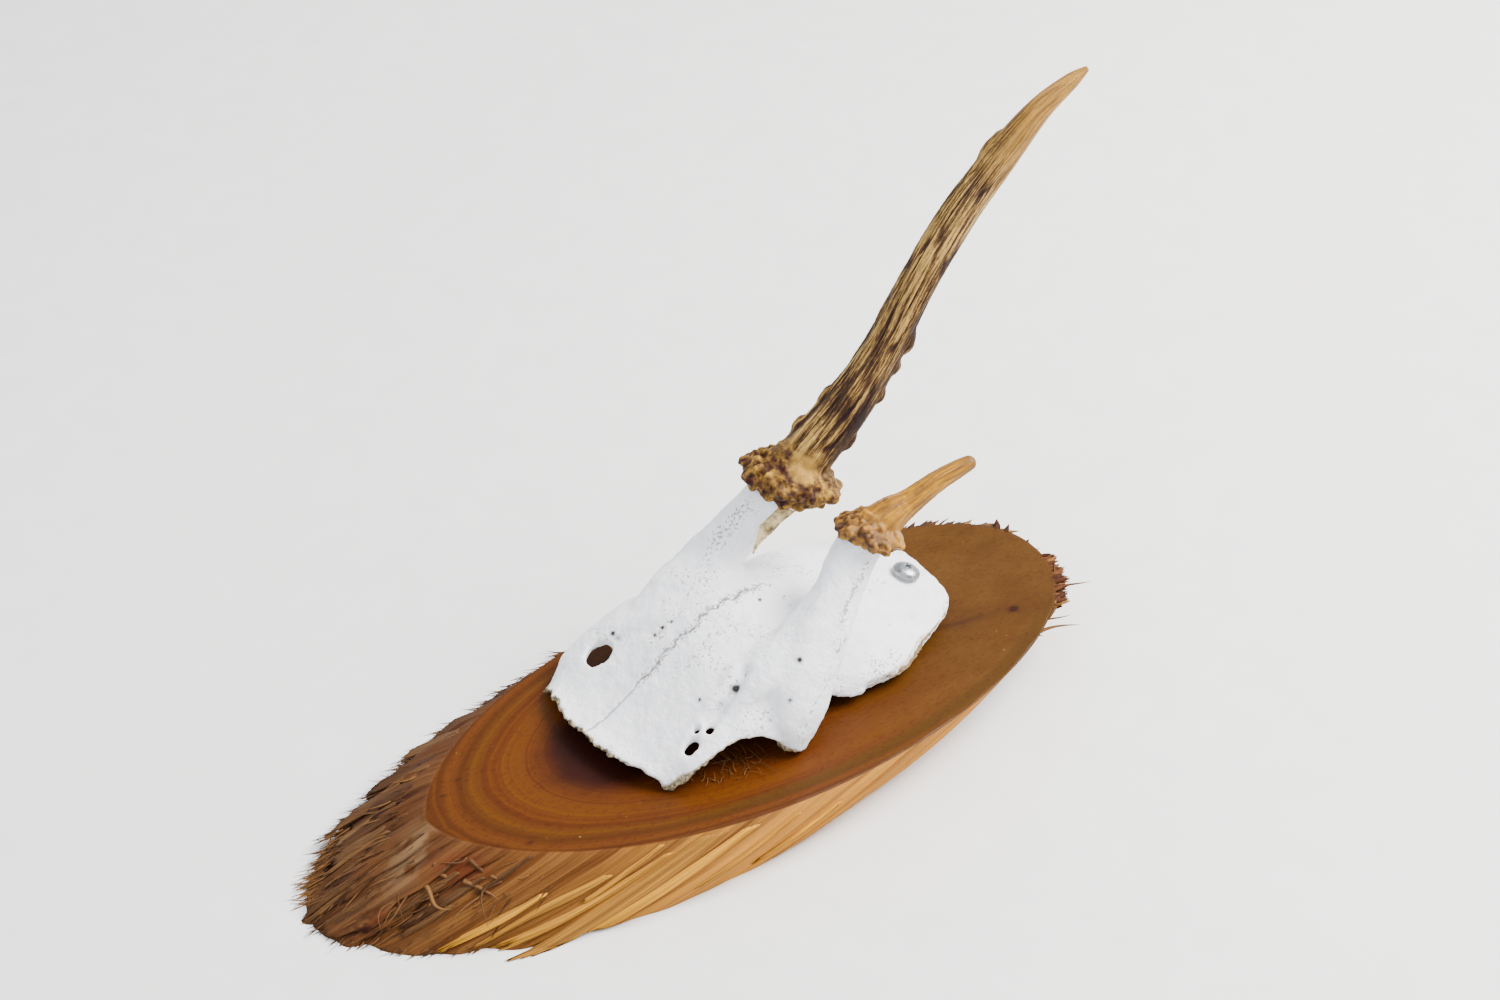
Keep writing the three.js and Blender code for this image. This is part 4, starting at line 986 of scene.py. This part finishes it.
def antler(stations, burr, lumps, grid_mm, furrow):
    """A beam swept along its curve, its burr, and the burr's knobs and the beam's lumps, grown together. The
    burr is a disc that lies flatter than the beam's own section: away from its middle its radius falls to
    the beam's by exp(-(rise / 0.55)**2), with rise in burr heights. Gives points, faces and fields."""
    path, radius, length = along_curve(stations, BEAM_STEPS)
    along, sideways, up = directions(path)
    s = np.linspace(0, length, BEAM_STEPS)
    rise = np.linspace(-0.8, 1.2, BURR_STEPS)
    bell = radius[0] + (burr["radius"] - radius[0]) * np.exp(-((rise / 0.55) ** 2))
    bell = np.where(rise > 0, bell - 0.3 * radius[0] * rise, bell)
    centre = path[int(burr["seat"] / length * (BEAM_STEPS - 1))]
    square = np.array(burr["square_to"]) / np.linalg.norm(burr["square_to"])
    level = np.cross([0.0, 0, 1], square)
    level /= np.linalg.norm(level)
    slope = np.cross(square, level)
    turn = 2 * np.pi * np.arange(BEAM_SIDES) / BEAM_SIDES
    wheel = slope * np.cos(turn)[:, None] + level * np.sin(turn)[:, None]
    disc = centre + square * (rise * burr["height"])[:, None, None] + wheel * bell[:, None, None]
    rising, aside = radius[:, None] * np.cos(turn), radius[:, None] * np.sin(turn)
    beam = path[:, None] + up[:, None] * rising[..., None] + sideways[:, None] * aside[..., None]
    beam_faces, disc_faces = capped(BEAM_STEPS, BEAM_SIDES), capped(BURR_STEPS, BEAM_SIDES)
    bodies = [(with_poles(beam), beam_faces), (with_poles(disc), disc_faces)]
    chance = np.random.default_rng(burr["seed"])
    for ring_height, share, size, count in burr["pearls"]:
        turns = 2 * np.pi * (np.arange(count) + chance.uniform(-0.3, 0.3, count)) / count
        out = slope * np.cos(turns)[:, None] + level * np.sin(turns)[:, None]
        sizes = size * chance.uniform(0.7, 1.35, count)
        reach = share * np.interp(ring_height - 0.4, rise, bell) + chance.uniform(-0.5, 0.3, count)
        nudge = (ring_height - 0.4) * burr["height"] + chance.uniform(-0.7, 0.7, count)
        centres = centre + out * reach[:, None] + square * nudge[:, None]
        bodies.append(knobs(centres, out - 0.35 * square, sizes, chance.uniform(1.0, 1.6, count)))
    if lumps:
        places, sides, longs, thicks = np.array(lumps).T
        i = np.round(places / length * (BEAM_STEPS - 1)).astype(int)
        out = ROUGH_SIDE * sides[:, None]
        out = out - along[i] * (out * along[i]).sum(1, keepdims=True)
        out /= np.linalg.norm(out, axis=1, keepdims=True)
        roots = path[i] + out * (radius[i] - 0.35 * thicks)[:, None]
        bodies.append(knobs(roots, along[i], thicks, longs / thicks))
    points, faces = grown_together(bodies, grid_mm, 3)
    nearest = np.concatenate([((chunk[:, None] - path[None]) ** 2).sum(-1).argmin(1)
                              for chunk in np.array_split(points, 60)])
    off = points - path[nearest]
    turn = np.arctan2((off * sideways[nearest]).sum(1), (off * up[nearest]).sum(1))
    s = s[nearest] + (off * along[nearest]).sum(1)
    out = facing_out(points, faces)
    wrap = np.stack([np.cos(turn), np.sin(turn), s / 75], -1)
    on_beam = smooth(s, 0.8 * burr["height"], 2.2 * burr["height"])
    to_tip = smooth(s / length, 0.62, 0.95)
    grooves = 1 - 2 * np.abs(rough_sum(wrap * [1, 1, 1.6], 0.46, 13, 2))
    grooves = smooth(grooves, 0.2, 1.0)
    broad = rough_sum(wrap, 0.9, 23, 2)
    crumbs = rough_sum(points, 1.8, 33, 3)
    facing = (off @ ROUGH_SIDE) / np.linalg.norm(off, axis=1)
    shift = on_beam * (1 - 0.9 * to_tip) * furrow * (0.45 * broad - 0.5 * grooves)
    shift += (1 - on_beam) * 0.42 * crumbs + 0.06 * on_beam * (1 - to_tip) * rough_sum(points, 0.9, 43)
    return points + out * shift[:, None], faces, {
        "rough": smooth(facing, 0.25, 0.8) * on_beam, "smooth_side": smooth(-facing, 0.1, 0.7),
        "along": s / length, "groove": grooves * on_beam * (1 - to_tip), "beam": on_beam, "wrap": wrap,
        "crumb": crumbs}


tall, faces, fields = antler(
    TALL_BEAM,
    {"radius": 13.0, "height": 7.2, "seat": 4.0, "square_to": (0.35, 0.03, 0.936), "seed": 4,
     "pearls": [(0.35, 0.98, 1.4, 36), (0.65, 0.94, 1.2, 30), (0.1, 0.92, 1.4, 30), (0.95, 0.98, 0.8, 14),
                (-0.12, 0.96, 1.3, 26)]},
    [(16, -1, 3, 1.9), (21, 1, 3.4, 2), (27, -1, 3.4, 1.6), (35, 1, 2.6, 1.8), (44, 1, 2.4, 1.9),
     (51, 1, 4, 2.6), (106, -1, 6, 1.7)], 0.42, 1.0)
horn = Finish("brown_antler")
wrap = horn.field("wrap", "Vector")
place = horn.place()
long_streak = horn.grain(horn.stretch(wrap, (1.0, 1.0, 0.42)), 10.0, 5.0, 0.62)
short_streak = horn.grain(horn.stretch(wrap, (1.0, 1.0, 1.5)), 24.0, 4.0, 0.7)
streak = horn.weighed(short_streak, 0.36, long_streak, 0.64)
specks = horn.grain(place, 900.0, 4.0, 0.7)
clouds = horn.grain(horn.stretch(wrap, (1.0, 1.0, 3.0)), 1.6, 3.0)
darkness = horn.sums("MULTIPLY_ADD", horn.field("groove"), 0.15, horn.sums("MULTIPLY_ADD", streak, 1.6, -0.3))
darkness = horn.sums("ADD", darkness, horn.sums("MULTIPLY", horn.sums("SUBTRACT", clouds, 0.5), 0.24))
darkness = horn.sums("ADD", darkness, horn.sums("MULTIPLY", horn.field("stained"), 0.17))
beam_shade = horn.shades(darkness, (0.4, "b49148"), (0.5, "806131"), (0.56, "563d1f"), (0.63, "351f05"),
                         (0.74, "170101"))
tip_grain = horn.grain(horn.stretch(wrap, (1.0, 1.0, 2.5)), 4.0, 5.0)
tip_shade = horn.shades(tip_grain, (0.3, "66461c"), (0.45, "8d6429"), (0.6, "b38230"))
beam_shade = horn.mix(horn.spread(horn.field("along"), 0.7, 0.86), beam_shade, tip_shade)
burr_shade = horn.shades(horn.weighed(horn.field("crumb"), 0.28, specks, 0.9),
                         (0.22, "250101"), (0.36, "452904"), (0.48, "604214"), (0.62, "87611f"),
                         (0.8, "b48929"))
colour = horn.mix(horn.field("beam"), burr_shade, beam_shade)
colour = horn.mix(horn.field("pale"), colour, "a27b33")
edge = horn.sums("MULTIPLY", horn.field("dark_edge"), horn.spread(streak, 0.42, 0.56))
colour = horn.mix(edge, colour, "311c03")
relief = horn.weighed(streak, -1.0, specks, 0.35)
dull = horn.spread(horn.field("along"), 0.5, 0.9, 0.62, 0.4)
horn_finish = horn.done(colour, dull, horn.bump(relief, 0.0007, 0.7), Specular_IOR_Level=0.2)
along = fields["along"]
dark_patch = np.exp(-(((along - 0.2) / 0.028) ** 2)) * smooth(tall @ [-0.4, -0.8, 0.1] + 45, 0, 3)
dark_patch = 0.7 * dark_patch + 0.75 * fields["rough"] * (1 - smooth(along, 0.32, 0.7))
dark_edge = fields["smooth_side"] * smooth(along, 0.55, 0.62) * (1 - smooth(along, 0.8, 0.93))
worn = np.exp(-(np.linalg.norm(tall - [78.5, 8.6, 53], axis=1) / 4.6) ** 2) + 0.15 * fields["crumb"]
make("tall_antler", on_slice(tall), faces, horn_finish, "antler_brown", "antler_tall",
     stained=dark_patch, dark_edge=dark_edge, pale=0.8 * smooth(worn, 0.25, 0.7), **fields)

short, faces, fields = antler(
    SHORT_BEAM,
    {"radius": 9.0, "height": 4.4, "seat": 4.2, "square_to": (0.43, 0.066, 0.9), "seed": 9,
     "pearls": [(0.25, 0.98, 1.25, 22), (0.65, 0.9, 1.1, 18), (0.0, 0.84, 1.2, 15), (1.15, 1.0, 0.8, 12)]},
    [], 0.34, 0.35)
honey = Finish("honey_antler")
wrap = honey.field("wrap", "Vector")
specks = honey.grain(honey.place(), 800.0, 4.0, 0.7)
streak = honey.grain(honey.stretch(wrap, (1.0, 1.0, 2.5)), 4.0, 6.0, 0.65)
spike = honey.shades(streak, (0.28, "50320a"), (0.42, "7b5112"), (0.55, "9c6a0d"), (0.7, "c38906"))
spike = honey.mix(honey.spread(honey.field("along"), 0.84, 1.0, 0.0, 0.8), spike, "503010")
nodules = honey.shades(honey.weighed(honey.field("crumb"), 0.3, specks, 0.9),
                       (0.22, "321602"), (0.38, "51330e"), (0.5, "6e4815"), (0.66, "906214"),
                        (0.85, "b27d20"))
blots = honey.grain(honey.place(), 260.0, 2.0)
spike = honey.mix(honey.spread(blots, 0.64, 0.7, 0.0, 0.7), spike, "492206")
colour = honey.mix(honey.field("beam"), nodules, spike)
relief = honey.weighed(streak, -0.6, specks, 0.4)
dull = honey.spread(honey.field("beam"), 0, 1, 0.6, 0.42)
honey_finish = honey.done(colour, dull, honey.bump(relief, 0.0005, 0.6), Specular_IOR_Level=0.3)
make("short_antler", on_slice(short), faces, honey_finish, "antler_honey", "antler_short", **fields)

# ---- Screw ----
# A zinc-plated wood screw with a pan head and a cross recess, driven down through the bone behind the crown.
HEAD, HEAD_HEIGHT, TILT = 4.1, 2.5, np.radians(20.0)
reach = np.concatenate([np.linspace(0.03, 0.8, 34), np.linspace(0.82, 1, 8)])[:, None]
turn = 2 * np.pi * np.arange(160)[None] / 160
arm = HEAD * reach * np.stack([np.cos(turn), np.sin(turn)])
slot = np.maximum(smooth(0.42 - np.abs(arm[0]), 0, 0.16) * smooth(1.45 - np.abs(arm[1]), 0, 0.5),
                  smooth(0.42 - np.abs(arm[1]), 0, 0.16) * smooth(1.45 - np.abs(arm[0]), 0, 0.5))
crown = HEAD_HEIGHT * (0.12 + 0.88 * np.sqrt(np.clip(1 - reach**2.2, 0, 1))) - 1.0 * slot
face = np.stack([arm[0], arm[1], crown], -1)
lip = np.stack([HEAD * np.cos(turn), HEAD * np.sin(turn), np.zeros_like(turn)], -1)
shank_run = np.array([0.0, -6, -14, -16, -20])[:, None]
shank_radius = np.array([2.0, 2.0, 2.0, 1.9, 0.1])[:, None]
shank = np.stack([shank_radius * np.cos(turn), shank_radius * np.sin(turn), shank_run + 0 * turn], -1)
screw = with_poles(np.concatenate([face, lip, shank]))
lean = np.stack([screw[:, 0] * np.cos(TILT) + screw[:, 2] * np.sin(TILT), screw[:, 1],
                 screw[:, 2] * np.cos(TILT) - screw[:, 0] * np.sin(TILT)], -1)
SCREW_X, SCREW_Y = 106.4, -4.6
half = through(HALF_WIDTH, np.array([SCREW_X]))
seat = cap_at(np.array([SCREW_X / CAP_LENGTH]), SCREW_Y / half, 0.0)[0, 2] + 0.9
zinc = Finish("zinc_plate")
cloudy = zinc.grain(zinc.place(), 900.0, 3.0)
plating = zinc.shades(cloudy, (0.35, "85888b"), (0.65, "a9acae"))
zinc_finish = zinc.done(plating, zinc.spread(cloudy, 0.3, 0.7, 0.28, 0.5), Metallic=1.0)
driven = on_slice(lean + [SCREW_X, SCREW_Y, seat])
make("pan_head_screw", driven, capped(len(screw) // 160, 160), zinc_finish, "zinc_screw", "screw")

# ---- Floor and light ----
# A plain pale floor under a large soft lamp, with a dimmer one to fill the near side.
floor_mesh = bpy.data.meshes.new("floor")
floor_mesh.from_pydata([(-4, -4, 0), (4, -4, 0), (4, 4, 0), (-4, 4, 0)], [], [(0, 1, 2, 3)])
floor = bpy.data.objects.new("floor", floor_mesh)
bpy.context.scene.collection.objects.link(floor)
sheet = Finish("pale_floor")
speck = sheet.grain(sheet.place(), 60.0, 2.0)
floor_mesh.materials.append(sheet.done(sheet.shades(speck, (0.3, "e4e3e2"), (0.7, "e9e8e7")), 0.6))


def lamp(name, place, target, size, watts, shade):
    """A square soft lamp aimed at a point."""
    light = bpy.data.lights.new(name, "AREA")
    light.size = size
    light.energy = watts
    light.color = tint(shade)
    holder = bpy.data.objects.new(name, light)
    holder.location = place
    holder.rotation_euler = (Vector(target) - Vector(place)).to_track_quat("-Z", "Y").to_euler()
    bpy.context.scene.collection.objects.link(holder)


lamp("key", (0.8, -0.2, 0.95), (0.06, 0, 0.03), 0.7, 52, "fffaf4")
lamp("fill", (-0.9, -0.3, 1.2), (0.03, 0, 0.03), 1.2, 10, "e8f0ff")
world = bpy.data.worlds.new("studio")
world.use_nodes = True
world.node_tree.nodes["Background"].inputs[0].default_value = (0.93, 0.96, 1, 1)
world.node_tree.nodes["Background"].inputs[1].default_value = 1.25
bpy.context.scene.world = world
